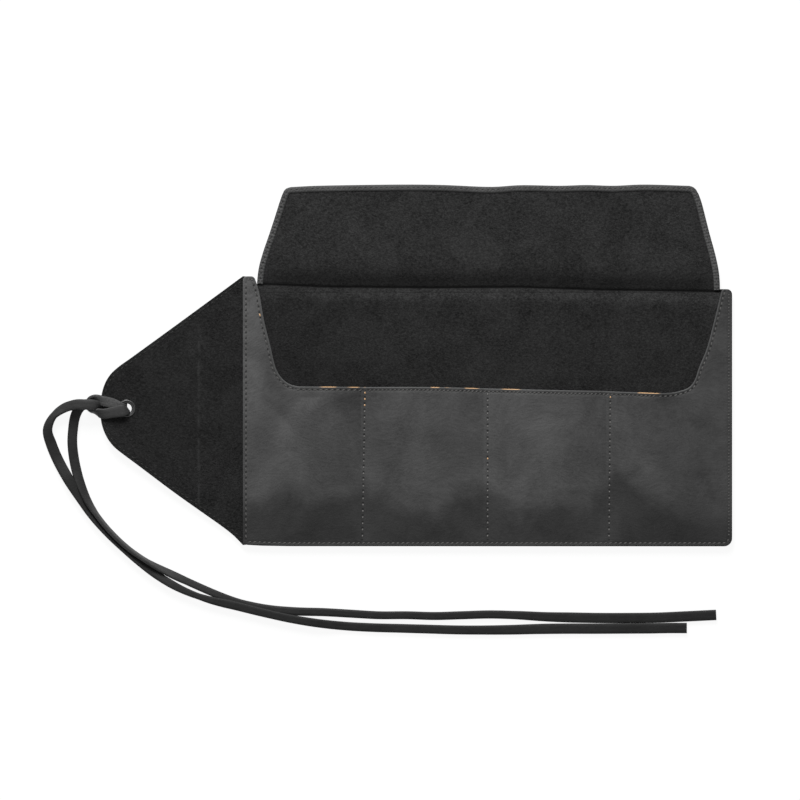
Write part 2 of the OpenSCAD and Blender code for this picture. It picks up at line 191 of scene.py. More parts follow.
# Grain of smooth leather: clouds, hair-fine wrinkles that wander, and pores
def makeGrainGroup():
    group, place, out = startGroup("leatherGrain", "Place", ("Mottle", "Height"))
    cloud = noiseAt(group, place, 34.0, 6.0, 0.6, 0.7)[0]
    swirl = scaled(group, noiseAt(group, place, 22.0, 2.0)[1], 0.035)
    bent = put(group, "ShaderNodeVectorMath", {0: place, 1: swirl}, operation="ADD").outputs[0]
    wrinkle = noiseAt(group, stretched(group, bent, -0.9, (230, 900, 400)), 1.0, 4.0, 0.65)[0]
    pebbles = put(group, "ShaderNodeTexVoronoi", {
        "Vector": place, "Scale": 950.0, "Randomness": 1.0}, feature="SMOOTH_F1").outputs[0]
    pores = noiseAt(group, place, 1000.0, 3.0, 0.65)[0]
    mottle = calc(group, "MULTIPLY_ADD", wrinkle, 0.7, cloud)
    mottle = calc(group, "MULTIPLY_ADD", pores, 0.5, mottle)
    height = calc(group, "MULTIPLY_ADD", pores, 0.6, pebbles)
    height = calc(group, "MULTIPLY_ADD", wrinkle, 1.2, height)
    fill(group, out, {"Mottle": remap(group, mottle, 0.78, 1.42), "Height": height})
    return group


# Painted shade in awl holes along a seam: row X counts stitches, Y is the distance from it in mm, Z a
# stitch's length
def makeHoleShadeGroup():
    group, given, out = startGroup("awlHoleShade", "Row", ("HoleShade",))
    row = put(group, "ShaderNodeSeparateXYZ", {0: given}).outputs
    offset = calc(group, "MULTIPLY", calc(group, "PINGPONG", row[0], 0.5), row[2])
    reach = put(group, "ShaderNodeCombineXYZ", {0: offset, 1: row[1]}).outputs[0]
    far = put(group, "ShaderNodeVectorMath", {0: reach}, operation="LENGTH").outputs["Value"]
    fill(group, out, {"HoleShade": remap(group, far, 0.9, 0.4)})
    return group


napGroup, grainGroup, holeShadeGroup = makeNapGroup(), makeGrainGroup(), makeHoleShadeGroup()


def startNodes(owner):
    owner.use_nodes = True
    owner.node_tree.nodes.clear()
    return owner.node_tree


def startMaterial(name):
    material = bpy.data.materials.new(name)
    tree = startNodes(material)
    shader = put(tree, "ShaderNodeBsdfPrincipled")
    put(tree, "ShaderNodeOutputMaterial", {"Surface": shader.outputs[0]})
    return material, tree, shader


def vectorOf(tree, name):
    return put(tree, "ShaderNodeAttribute", attribute_name=name).outputs["Vector"]


def valueOf(tree, name):
    return put(tree, "ShaderNodeAttribute", attribute_name=name).outputs["Fac"]


def bumpFrom(tree, height, strength, distance):
    return put(tree, "ShaderNodeBump", {
        "Height": height, "Strength": strength, "Distance": distance}).outputs[0]


def surface(tree, shader, look, colour, roughness, height, distance=0.0003):
    fill(tree, shader, {
        "Base Color": colour, "Roughness": roughness, "Specular IOR Level": look["specular"],
        "Normal": bumpFrom(tree, height, look["bump"], distance)})


# In the suede, crease is the near-black of painted shade along the fold
suedeLook = {"dark": 0.003, "light": 0.044, "worn": 0.07, "crease": 0.001, "roughness": 1.0,
             "specular": 0.1, "sheen": 0.06, "sheenRoughness": 0.6, "bump": 0.5, "bumpHeight": 0.0004}
# pocketLook holds the level of the painted shade on each pocket's lower part, and where that shade starts
# and ends
pocketLook = {"dark": 0.034, "light": 0.090, "rim": 0.11, "hole": 0.012, "raw": (0.68, 0.42, 0.22, 1),
              "paintedShade": 0.54, "shadeFrom": 8.0, "shadeTo": 27.0, "ragged": 34.0, "roughness": 0.6,
              "specular": 0.3, "bump": 0.25}
outerLook = {"dark": 0.024, "light": 0.05, "rim": 0.016, "roughness": 0.58, "specular": 0.3,
             "bump": 0.25}
hemLook = {"dark": 0.037, "light": 0.090, "rim": 0.04, "hole": 0.02, "roughness": 0.62, "specular": 0.3,
           "bump": 0.35}
laceLook = {"dark": 0.016, "light": 0.036, "fleshDark": 0.03, "fleshLight": 0.085, "roughness": 0.55,
            "fleshRoughness": 0.95, "specular": 0.25, "bump": 0.2}
# pale is the colour of the painted highlight on the thread; tan is the colour of tan thread
threadLook = {"base": 0.08, "black": 0.013, "pale": 0.24, "tan": (0.68, 0.42, 0.22, 1),
              "roughness": 0.7, "bump": 0.4}
metalLook = {"base": 0.12, "roughness": 0.42, "bump": 0.12}


def suedeMaterial():
    material, tree, shader = startMaterial("suede")
    nap = useGroup(tree, napGroup, {"Place": vectorOf(tree, "place")})
    colour = blendGreys(tree, nap["Shade"], suedeLook["dark"], suedeLook["light"])
    colour = scaled(tree, colour, valueOf(tree, "tone"))
    colour = blendColours(tree, valueOf(tree, "worn"), colour, grey(suedeLook["worn"]))
    # Painted shade: the crease field darkens the suede along the fold
    colour = blendColours(tree, valueOf(tree, "crease"), colour, grey(suedeLook["crease"]))
    fill(tree, shader, {
        "Sheen Weight": suedeLook["sheen"], "Sheen Roughness": suedeLook["sheenRoughness"]})
    surface(tree, shader, suedeLook, colour, suedeLook["roughness"], nap["Height"],
            suedeLook["bumpHeight"])
    return material


# Smooth leather: rim is 1 on a cut edge; on the pocket leather a second field, the distance in mm above a
# ragged line, sets where painted shade darkens each pocket's lower part
def leatherMaterial(name, look, withHoles=False, withPaintedShade=False):
    material, tree, shader = startMaterial(name)
    place = vectorOf(tree, "place")
    grain = useGroup(tree, grainGroup, {"Place": place})
    colour = blendGreys(tree, grain["Mottle"], look["dark"], look["light"])
    if withPaintedShade:
        # Painted shade: each pocket is darker below a ragged line across its lower part
        ragged = noiseAt(tree, place, 38.0, 4.0)[0]
        aboveShadeLine = calc(tree, "MULTIPLY_ADD", ragged, look["ragged"], valueOf(tree, "aboveShadeLine"))
        level = remap(tree, aboveShadeLine, look["shadeFrom"], look["shadeTo"], look["paintedShade"], 1.0,
                      interpolation_type="SMOOTHSTEP")
        colour = scaled(tree, colour, calc(tree, "MULTIPLY", level, valueOf(tree, "tone")))
    colour = blendColours(tree, valueOf(tree, "rim"), colour, grey(look["rim"]))
    height = grain["Height"]
    if withHoles:
        colour = blendColours(tree, valueOf(tree, "raw"), colour, look.get("raw", grey(look["rim"])))
        # The stitch holes are darkened as painted shade, and sink in the bump
        hole = useGroup(tree, holeShadeGroup, {"Row": vectorOf(tree, "row")})["HoleShade"]
        colour = blendColours(tree, hole, colour, grey(look["hole"]))
        height = calc(tree, "MULTIPLY_ADD", hole, -3.0, height)
    rough = remap(tree, grain["Mottle"], 0, 1, look["roughness"] + 0.06, look["roughness"] - 0.06)
    surface(tree, shader, look, colour, rough, height)
    return material


# The lace is smooth on one side and rough on the other: "flesh" is 1 where the rough side is up
def laceMaterial():
    material, tree, shader = startMaterial("laceLeather")
    place = vectorOf(tree, "place")
    grain = useGroup(tree, grainGroup, {"Place": place})
    nap = useGroup(tree, napGroup, {"Place": place})
    smoothSide = blendGreys(tree, grain["Mottle"], laceLook["dark"], laceLook["light"])
    roughSide = blendGreys(tree, nap["Shade"], laceLook["fleshDark"], laceLook["fleshLight"])
    flesh = valueOf(tree, "flesh")
    colour = scaled(tree, blendColours(tree, flesh, smoothSide, roughSide), valueOf(tree, "tone"))
    height = calc(tree, "MULTIPLY_ADD", nap["Height"], flesh, grain["Height"])
    rough = remap(tree, flesh, 0, 1, laceLook["roughness"], laceLook["fleshRoughness"])
    surface(tree, shader, laceLook, colour, rough, height)
    return material


def threadMaterial(name, base):
    material, tree, shader = startMaterial(name)
    strands = noiseAt(tree, vectorOf(tree, "place"), 1400.0, 3.0, 0.6)[0]
    worn = remap(tree, strands, 0.35, 0.65)
    colour = blendGreys(tree, worn, base * 0.6, base * 1.3, warm=(0.02, 0.03))
    # pale lightens the thread as a painted highlight
    colour = blendColours(tree, valueOf(tree, "pale"), colour, grey(threadLook["pale"], 0.03))
    colour = blendColours(tree, valueOf(tree, "tan"), colour, threadLook["tan"])
    fill(tree, shader, {
        "Base Color": colour, "Roughness": threadLook["roughness"],
        "Normal": bumpFrom(tree, strands, threadLook["bump"], 0.0002)})
    return material


def metalMaterial():
    material, tree, shader = startMaterial("gunmetal")
    scratches = noiseAt(tree, put(tree, "ShaderNodeTexCoord").outputs["Object"], 900.0, 4.0)[0]
    base, rough = metalLook["base"], metalLook["roughness"]
    fill(tree, shader, {
        "Metallic": 1.0, "Base Color": blendGreys(tree, scratches, base * 0.8, base * 1.2),
        "Roughness": remap(tree, scratches, 0, 1, rough - 0.08, rough + 0.12),
        "Normal": bumpFrom(tree, scratches, metalLook["bump"], 0.0002)})
    return material


suede = suedeMaterial()
pocketLeather = leatherMaterial("pocketLeather", pocketLook, withHoles=True, withPaintedShade=True)
outerLeather = leatherMaterial("outerLeather", outerLook)
hemLeather = leatherMaterial("hemLeather", hemLook, withHoles=True)
laceLeather = laceMaterial()
thread = threadMaterial("waxedThread", threadLook["base"])
blackThread = threadMaterial("blackThread", threadLook["black"])
gunmetal = metalMaterial()
print("materials:", len(bpy.data.materials))


# How far along a line each of its points lies
def runOf(points):
    return np.concatenate([[0], np.cumsum(np.linalg.norm(np.diff(np.array(points), axis=0), axis=1))])


# Catmull-Rom curve through points of any size, walked at an even spacing
def curveThrough(points, spacing):
    knots = np.array(points, float)
    ahead = np.vstack([2 * knots[0] - knots[1], knots, 2 * knots[-1] - knots[-2]])
    dense = []
    for i in range(len(knots) - 1):
        a, b, c, d = ahead[i:i + 4]
        for t in np.linspace(0, 1, 24, endpoint=False):
            dense.append(0.5 * (2 * b + (c - a) * t + (2 * a - 5 * b + 4 * c - d) * t * t
                                + (3 * b - a - 3 * c + d) * t ** 3))
    dense = np.array(dense + [knots[-1]])
    run = runOf(dense[:, :3])
    count = max(2, round(run[-1] / spacing) + 1)
    at = np.linspace(0, run[-1], count)
    return np.stack([np.interp(at, run, dense[:, k]) for k in range(dense.shape[1])], axis=1)


def arc(cx, cy, radius, start, end, steps=6):
    turns = [math.radians(start + (end - start) * i / steps) for i in range(steps + 1)]
    return [(cx + radius * math.cos(a), cy + radius * math.sin(a)) for a in turns]


def storeAttribute(mesh, name, values):
    kind = "FLOAT" if values.ndim == 1 else "FLOAT_VECTOR"
    field = "value" if values.ndim == 1 else "vector"
    attribute = mesh.attributes.new(name, kind, "POINT")
    attribute.data.foreach_set(field, values.astype(np.float32).ravel())


# Turns a bmesh in millimetres into a piece in the frame, with its rest place kept as an attribute
def finishPiece(bm, name, material, sharp=50, fields=None):
    mesh = bpy.data.meshes.new(name)
    bm.to_mesh(mesh)
    bm.free()
    mesh.transform(toFrame)
    mesh.materials.append(material)
    mesh.shade_smooth()
    mesh.set_sharp_from_angle(angle=math.radians(sharp))
    storeAttribute(mesh, "place", pointsOf(mesh))
    for label, values in (fields or {}).items():
        storeAttribute(mesh, label, values)
    return addObject(name, mesh)


def pointsOf(mesh):
    found = np.zeros(len(mesh.vertices) * 3)
    mesh.vertices.foreach_get("co", found)
    return found.reshape(-1, 3)


def standFor(node):
    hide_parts(node)


def rideWing(piece, node):
    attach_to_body(piece, "wing")
    standFor(node)


# Lace
lace = {"width": 6.8, "thickness": 1.9, "spacing": 1.6, "loopSpacing": 0.7, "loopTone": 1.45}
longUnder = [
    (-75, -74.6, 1.2), (-84, -74.6, 1.2), (-92.6, -75, 1.2), (-94.8, -75.3, 3.6),
    (-97.4, -75.5, 6.6)]
shortUnder = [
    (-75, -81.8, 1.2), (-84, -81.8, 1.2), (-91.5, -79.6, 1.4), (-93.0, -77.2, 4.6),
    (-95.6, -75.8, 8.4)]
tailLong = [
    (-102, -75.5, 7.0), (-105.5, -77.5, 5.0), (-108.5, -83, 2.4), (-110, -91, 1),
    (-110.5, -101, 1), (-109, -113, 1), (-106, -124.5, 1), (-101, -136.6, 1), (-94, -147.6, 1),
    (-85.4, -158, 1), (-74.6, -168.2, 1), (-62.6, -176.6, 1), (-49, -184, 1), (-33, -191.5, 1),
    (-17, -198.5, 1), (-1, -204.5, 1), (16, -208, 1), (34, -209.5, 1), (52, -210, 1),
    (70, -211, 1), (88, -212, 1), (106, -212, 1), (124, -212.5, 1), (142, -212, 1),
    (160, -211.5, 1), (178, -212, 1), (196, -213, 1), (214, -213.5, 1), (232, -213.8, 1),
    (250, -213.8, 1), (268, -213.6, 1), (286, -212.8, 1), (306.5, -211.8, 1)]
tailShort = [
    (-102, -75.5, 9.1), (-108, -75.5, 7.2), (-116, -78, 3.8), (-123, -83.5, 1.6), (-126.5, -92, 1),
    (-124.2, -101, 1), (-119.8, -111.5, 1.4), (-113.4, -123, 3.2), (-106, -135, 3.2),
    (-98.5, -146, 3.2), (-90, -156, 3.2), (-80, -166, 3.2), (-68, -176.5, 3.2), (-54, -187, 3.2),
    (-39, -195.5, 3.2), (-23, -201.5, 3.2), (-6, -205.5, 3.2), (12, -210, 3.2), (30, -214, 3.2),
    (48, -217, 3), (66, -219, 1), (84, -220, 1), (102, -220.5, 1), (120, -221, 1),
    (138, -221.5, 1), (156, -221.6, 1), (174, -221.4, 1), (192, -220.9, 1), (210, -220.7, 1),
    (228, -220.7, 1), (246, -220.6, 1), (264, -220.5, 1), (276, -220.3, 1), (287.5, -220.3, 1)]
# The loop rises out of the eyelet, twists round both tails and goes back: x, y, z, width share, roll
loopRoute = [
    (-76.6, -77.2, 0.9, 0.62, 0), (-76.7, -77.1, 4.2, 0.62, 0), (-77.7, -76.8, 6.4, 0.68, 0),
    (-80.2, -76.0, 7.0, 0.82, 0), (-83.5, -74.9, 6.9, 0.95, -2), (-87.0, -74.0, 6.8, 1.0, -6),
    (-90.5, -73.2, 6.7, 1.0, -16), (-93.5, -72.0, 6.2, 0.95, -36), (-96.2, -71.2, 5.2, 0.85, -60),
    (-98.8, -71.6, 4.3, 0.75, -80), (-100.6, -73.4, 3.7, 0.72, -90),
    (-101.0, -75.8, 3.6, 0.72, -90), (-100.4, -78.0, 3.7, 0.72, -92),
    (-98.6, -79.5, 4.2, 0.78, -98), (-96.2, -80.0, 4.9, 0.88, -108),
    (-93.8, -80.6, 5.8, 0.96, -130), (-91.0, -81.4, 6.6, 1.0, -158),
    (-88.0, -81.4, 7.1, 1.03, -172), (-84.0, -80.6, 7.5, 1.07, -178),
    (-80.0, -79.9, 7.9, 1.15, -180), (-77.2, -79.4, 7.9, 1.16, -180),
    (-75.7, -79.1, 7.2, 1.0, -180), (-75.1, -78.7, 5.6, 0.84, -180),
    (-75.1, -78.4, 0.9, 0.78, -180)]
# How each tail rolls on its edge: share of its length, roll in degrees, width share, tone, height
# The high tones are painted highlight: on the band where the short tail comes out over the knot, and on
# the long tail where it stands on its edge
longTwist = [
    (0, 0, 1, 0.9, 0), (0.05, 0, 1, 0.9, 0), (0.1, 8, 0.95, 0.75, 0), (0.145, -4, 0.95, 0.65, 0),
    (0.18, -45, 0.9, 0.9, 0.2), (0.205, -74, 0.9, 1.3, 0.4), (0.29, -76, 0.9, 1.3, 0.4),
    (0.32, -45, 0.85, 1.3, 0), (0.345, -12, 0.72, 1.15, 0), (0.39, -10, 0.72, 0.9, 0),
    (0.43, -10, 0.85, 0.6, 0), (0.5, -8, 0.8, 0.5, 0), (0.6, -6, 0.76, 0.5, 0),
    (0.75, -4, 0.8, 0.5, 0), (0.82, 0, 0.98, 0.6, 0), (1, 0, 1, 0.6, 0)]
shortTwist = [
    (0, 0, 1, 1.5, 0), (0.06, 0, 1, 1.5, 0), (0.088, 18, 0.95, 1.1, 0), (0.105, 44, 0.82, 0.85, 0),
    (0.12, 26, 0.95, 0.7, 0), (0.14, 4, 1.05, 0.6, 0), (0.19, -6, 1.04, 0.65, 0),
    (0.225, -30, 0.9, 0.8, -1.7), (0.3, -34, 0.78, 0.8, -1.7), (0.345, -20, 0.84, 0.8, -1.2),
    (0.37, -8, 0.78, 0.75, 0), (0.405, -6, 0.6, 0.75, 0), (0.44, 0, 0.85, 0.75, 0),
    (0.5, 6, 0.8, 0.75, 0), (0.6, 4, 0.84, 0.7, 0), (0.75, 3, 0.88, 0.7, 0), (0.83, 0, 1, 0.65, 0),
    (1, 0, 1, 0.65, 0)]


# Sweeps the lace's section along a line of x, y, z, width share, roll, tone
def sweepLace(line, fleshUp):
    bm = bmesh.new()
    fleshLayer = bm.verts.layers.float.new("flesh")
    toneLayer = bm.verts.layers.float.new("tone")
    half, thick = lace["width"] / 2, lace["thickness"] / 2
    edge = [(half - thick * 0.7 * (1 - math.cos(a)), thick * math.sin(a)) for a in
            (math.radians(t) for t in (-90, -45, 0, 45, 90))]
    section = edge + [(half / 3, thick), (-half / 3, thick)] + [(-x, -y) for x, y in edge] \
        + [(-half / 3, -thick), (half / 3, -thick)]
    face = bm.faces.new([bm.verts.new((x, y, 0)) for x, y in section])
    across = Vector((0, -1, 0))
    for i, (x, y, z, share, roll, tone) in enumerate(line):
        way = Vector(line[min(i + 1, len(line) - 1)][:3] - line[max(i - 1, 0)][:3]).normalized()
        flat = Vector((-way.y, way.x, 0))
        if flat.length > 0.25:
            across = flat.normalized()
        side = (across - way * across.dot(way)).normalized()
        side = Matrix.Rotation(math.radians(roll), 3, way) @ side
        up = way.cross(side)
        if i:
            face = bmesh.ops.extrude_discrete_faces(bm, faces=[face])["faces"][0]
        for v, (sx, sy) in zip(face.verts, section):
            v.co = Vector((x, y, z)) + side * sx * share + up * sy
            v[fleshLayer] = float((sy > 0.1) == fleshUp and abs(sy) > 0.1)
            v[toneLayer] = tone
    bmesh.ops.recalc_face_normals(bm, faces=bm.faces[:])
    return bm


def layTail(name, route, twist, node):
    line = curveThrough(route, lace["spacing"])
    keys = np.array(twist)
    rolls, widths, tones, heights = (np.interp(np.linspace(0, 1, len(line)), keys[:, 0], keys[:, k])
                                     for k in (1, 2, 3, 4))
    line[:, 2] += np.abs(np.sin(np.radians(rolls))) * lace["width"] / 2 * widths * 0.8 + heights
    swept = sweepLace(np.column_stack([line, widths, rolls, tones]), False)
    piece = finishPiece(swept, name, laceLeather)
    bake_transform(piece)
    standFor(node)


def addLace():
    layTail("lace_long", longUnder + tailLong, longTwist, "lace_tail_long")
    layTail("lace_short", shortUnder + tailShort, shortTwist, "lace_tail_short")
    line = curveThrough(loopRoute, lace["loopSpacing"])
    line = np.column_stack([line, np.full(len(line), lace["loopTone"])])
    loop = finishPiece(sweepLace(line, True), "lace_loop", laceLeather)
    rideWing(loop, "lace_knot")


addLace()


eyelet = {"hole": 3.1, "barrel": 4.0, "flange": 5.65, "bead": 0.55, "washer": 5.4, "at": (-75.0, -78.0)}

# Outlines, in millimetres. Curves run through a few points that the eye can check on the picture
creaseLine = [
    (-20, 3.2), (9, 2.6), (56, 0.65), (121, 0.2), (180, 0.5), (231, -1.2), (308, -2.3),
    (340, -2.6)]
mouthLine = [
    (36, -63.8), (80, -64.2), (121, -64.2), (159, -65.1), (200, -66.1), (231, -66.7), (264, -68.0)]
scoopLeft = [
    (8.1, 5.6), (9.6, 1.0), (11.0, -4.5), (13.9, -21.4), (18.0, -38.0), (20.1, -47.5),
    (22.2, -53.8), (25.5, -58.7), (30.3, -62.3), (36, -63.8)]
scoopRight = [
    (264, -68.0), (274, -68.1), (281, -67.2), (288.4, -64.6), (292.4, -59.8), (295.5, -50.9),
    (300.4, -38.9), (305.4, -20.1), (309.2, -4.6), (310.0, -1.6)]
flapLeft = [
    (9.0, -3), (9.1, 2.6), (10.3, 13), (13.1, 23.3), (16.7, 33.7), (20.1, 44), (23.4, 54.4),
    (25.3, 60)]
flapTop = [
    (31, 65.3), (48, 66.1), (75, 66.6), (105, 66.9), (130, 66.6), (160, 65.4), (180, 66.5),
    (205, 66.1), (222, 66.6), (240, 66.1), (260, 66.9), (289, 66.1)]
flapRight = [
    (295.2, 60.5), (297.3, 54.4), (300.2, 43), (302.5, 34), (305.8, 22), (308.0, 11.7),
    (308.8, 3.9), (308.9, -3)]
wingEdge = [
    (0, 7.6), (-37, -19.6), (-68, -42.2), (-74.5, -46.9), (-79.7, -50.6), (-84.9, -55.2),
    (-88.4, -60.3), (-90.6, -66), (-91.8, -72), (-92, -78), (-91.9, -84.5), (-90.6, -90.5),
    (-88.2, -96.2), (-84.9, -101.1), (-80.4, -105.4), (-68, -114.7), (-42.8, -133.6),
    (-14.9, -153.4), (-7.1, -159.4), (-3.2, -163.1), (0, -166.5)]


def lineAt(line, x):
    xs, ys = zip(*line)
    return np.interp(x, xs, ys)


def asPairs(points):
    return [(float(p[0]), float(p[1])) for p in points]


def smooth(points, spacing):
    return asPairs(curveThrough(points, spacing))


# Leaves out points that fall on the one before
def tidy(points):
    kept = [points[0]]
    for p in points[1:]:
        if math.dist(p, kept[-1]) > 0.05:
            kept.append(p)
    return kept


# The real roll droops past its measured foot away from the wing, and ends short of its right edge
right = panelRight - 0.9
foot = panelLow - 0.8
lowEdge = [(30, foot + 0.1), (12, foot + 0.4), (3, panelLow + 0.1), (0, panelLow + 0.9)]
leftEnd = lowEdge[1:] + [(0, 4.9)] + arc(2.6, 4.9, 2.6, 180, 90, 4) + arc(5.4, 4.9, 2.6, 90, 20, 4)
rightEnd = arc(right - 3.4, -4.2, 3.4, 90, 0, 5) \
    + arc(right - 5.2, foot + 5.2, 5.2, 0, -90, 6) + lowEdge[:1]
frontOutline = tidy(
    leftEnd + smooth(scoopLeft[1:], 2.2) + smooth(mouthLine[1:-1], 4) + smooth(scoopRight, 2.2)
    + [(311.2, -0.8)] + rightEnd)
panelOutline = tidy(leftEnd + [(9.0, 1.5), (9.0, -3), (308.6, -3), (308.8, -0.8)] + rightEnd)
flapOutline = tidy(
    smooth(flapLeft, 3) + [(26.6, 62.9), (28.3, 64.5)] + smooth(flapTop, 4)
    + [(291.6, 65.3), (293.5, 63.6)] + smooth(flapRight, 3))
wingOutline = tidy(smooth(wingEdge, 2.5)) + [(bend["wingHalf"], panelLow + 0.2), (bend["wingHalf"], 7.4)]


# Shortest distance of points from a closed or open line, how far along the line that is, and a value
# above or below zero for the side
def nearestOn(points, line, closed=False):
    line = np.array(list(line) + ([line[0]] if closed else []), float)
    start, step = line[:-1], np.diff(line, axis=0)
    lengths = np.linalg.norm(step, axis=1)
    before = np.concatenate([[0], np.cumsum(lengths)[:-1]])
    best = np.full(len(points), 1e9)
    along = np.zeros(len(points))
    side = np.zeros(len(points))
    for a, d, size, run in zip(start, step, lengths, before):
        rel = points - a
        t = np.clip((rel @ d) / size ** 2, 0, 1)
        off = rel - t[:, None] * d
        far = np.hypot(off[:, 0], off[:, 1])
        closer = far < best
        best = np.where(closer, far, best)
        along = np.where(closer, run + t * size, along)
        side = np.where(closer, d[0] * rel[:, 1] - d[1] * rel[:, 0], side)
    return best, along, side


def every(start, end, step):
    count = max(1, round((end - start) / step))
    return [start + (end - start) * i / count for i in range(count + 1)]


# A flat sheet cut to an outline: rings along its rim, then a grid of cuts
def cutSheet(outline, rings, xLines, yLines):
    bm = bmesh.new()
    core = bm.faces.new([bm.verts.new((x, y, 0)) for x, y in outline])
    core.normal_update()
    if core.normal.z < 0:
        bmesh.ops.reverse_faces(bm, faces=[core])
    for ring in rings:
        bmesh.ops.inset_region(bm, faces=[core], thickness=ring, use_even_offset=True, use_boundary=True)
    for axis, lines in ((0, xLines), (1, yLines)):
        for line in lines:
            at, normal = [0, 0, 0], [0, 0, 0]
            at[axis], normal[axis] = line, 1
            bmesh.ops.bisect_plane(bm, geom=bm.verts[:] + bm.edges[:] + bm.faces[:], dist=0.01,
                                   plane_co=at, plane_no=normal)
    return bm


# Height of the underside and of the top, material and slot: the leather, and the suede on it
leatherPly = (0.0, leatherTop, outerLeather, "outer_leather")
suedePly = (leatherTop, suedeTop, suede, "suede")


# Faces with their edges and vertices
def partsOf(faces):
    return faces + list({e for f in faces for e in f.edges}) + list({v for f in faces for v in f.verts})


# Cuts a round hole through a flat sheet
def cutHole(bm, at, radius, sides=28):
    centre = Vector((*at, 0))
    for k in range(sides):
        way = Vector((math.cos(math.tau * k / sides), math.sin(math.tau * k / sides), 0))
        near = [f for f in bm.faces if (f.calc_center_median() - centre).length < radius + 4]
        bmesh.ops.bisect_plane(bm, geom=partsOf(near), dist=0.01, plane_co=centre + way * radius,
                               plane_no=way)
    gone = [f for f in bm.faces if (f.calc_center_median() - centre).length < radius * 0.999]
    bmesh.ops.delete(bm, geom=gone, context="FACES")


# The part of a flat sheet between two lines across it
def sectionFrom(sheet, low, high):
    part = sheet.copy()
    gone = [f for f in part.faces if not low < f.calc_center_median().x < high]
    bmesh.ops.delete(part, geom=gone, context="FACES")
    return part


# Gives a flat sheet its thickness and its place: heights are functions of the points in plan
def thicken(bm, outline, topOf, bottomOf, rounding):
    lower = bm.faces[:]
    lowerVerts = set(bm.verts)
    bmesh.ops.extrude_face_region(bm, geom=lower)
    upper = [v for v in bm.verts if v not in lowerVerts]
    for v in upper:
        v.co.z = 1
    bmesh.ops.recalc_face_normals(bm, faces=bm.faces[:])
    bm.verts.ensure_lookup_table()
    points = np.array([v.co for v in bm.verts])
    plan = points[:, :2]
    rim = nearestOn(plan, outline, closed=True)[0]
    isUpper = points[:, 2] > 0.5
    drop = rounding * (1 - np.sqrt(np.clip(1 - (1 - np.clip(rim / rounding, 0, 1)) ** 2, 0, 1)))
    top = topOf(plan) - drop
    bottom = bottomOf(plan) + drop * 0.6
    z = np.where(isUpper, top, bottom)
    for v, level in zip(bm.verts, z):
        v.co.z = level
    return plan, rim, isUpper


def planOf(bm):
    return np.array([v.co for v in bm.verts])[:, :2]


def swell(plan, size, seed):
    return np.array([noise.noise(Vector((x / size, y / size, seed))) for x, y in plan])


def smoothStep(x, low, high):
    t = np.clip((x - low) / (high - low), 0, 1)
    return t * t * (3 - 2 * t)


# How the soft roll lies: it rises off the table on both sides of the crease, and is flat at its edges
lie = {"panelRise": 2.2, "panelRun": 5.0, "flapRise": 2.4, "flapRun": 7.0, "edge": 20, "waves": 0.5,
       "waveSize": 46, "wing": 0.5, "wingSize": 38, "groove": 0.8, "grooveHalf": 0.75}
leftEdge = [(-70, 40), (-62, 30.5), (-47.5, 20.1), (-21, 13.9), (1, 9.6), (33, 16.5), (66, 27)]
rightEdge = [(-70, 281), (-64, 289), (-51, 295.5), (-20, 305.4), (1, 308.6), (34, 302), (66, 291)]


def fromCrease(plan):
    return plan[:, 1] - lineAt(creaseLine, plan[:, 0])


def restLift(plan):
    x, y = plan[:, 0], plan[:, 1]
    e = fromCrease(plan)
    inside = smoothStep(x - lineAt(leftEdge, y), 0, lie["edge"]) \
        * smoothStep(lineAt(rightEdge, y) - x, 0, lie["edge"])
    panelSide = lie["panelRise"] * (1 - np.exp(-(e / lie["panelRun"]) ** 2))
    panelSide = panelSide * np.exp(np.minimum(e, 0) / 20)
    flapSide = lie["flapRise"] * (1 - np.exp(-(e / lie["flapRun"]) ** 2))
    flapSide = flapSide * (1 - 0.8 * smoothStep(e, 12, 66))
    wave = lie["waves"] * (swell(plan, lie["waveSize"], 3.1) + 0.5) * smoothStep(e, 0, 20)
    return inside * (np.where(e < 0, panelSide, flapSide) + wave)


# The dip along the crease
def groove(plan):
    return lie["groove"] * np.exp(-(fromCrease(plan) / lie["grooveHalf"]) ** 2)


# Painted light on the suede: a painted highlight band below the crease, where the fold turns to the lamp,
# and painted shade above it and further down towards the pockets; the panel's suede is also darker
# towards the left, and the wing's darker with soft waves
paintedLightAndTone = {"below": 0.895, "band": 0.37, "bandAt": 5, "bandHalf": 4.5, "low": 0.1, "above": 1.02,
           "shade": 0.42, "shadeAt": 3, "shadeHalf": 7.5, "left": 0.2, "wing": 0.68, "wingWave": 0.08}


def suedeToneAndPaintedLight(plan):
    x, e = plan[:, 0], fromCrease(plan)
    # band is a painted highlight below the crease, shade is painted shade above it, and low is painted
    # shade towards the pockets
    band = paintedLightAndTone["band"] * np.exp(-((e + paintedLightAndTone["bandAt"]) / paintedLightAndTone["bandHalf"]) ** 2)
    shade = paintedLightAndTone["shade"] * np.exp(-((e - paintedLightAndTone["shadeAt"]) / paintedLightAndTone["shadeHalf"]) ** 2)
    below = np.where(e < 0, paintedLightAndTone["below"] + band - paintedLightAndTone["low"] * smoothStep(-e, 25, 60), 1.0)
    above = np.where(e > 0, paintedLightAndTone["above"] - shade, 1.0)
    side = 1 - paintedLightAndTone["left"] * (1 - smoothStep(x, 30, 110)) * (e < 0)
    onWing = paintedLightAndTone["wing"] + paintedLightAndTone["wingWave"] * swell(plan, 24, 2.2)
    return np.where(x < 0, onWing, below * above * side)


def wingLift(plan):
    x = plan[:, 0]
    wave = lie["wing"] * (swell(plan, lie["wingSize"], 9.4) + 0.4) * smoothStep(-x, 4, 40)
    return np.clip(-x, 0, None) * math.tan(bend["wingLean"]) + wave


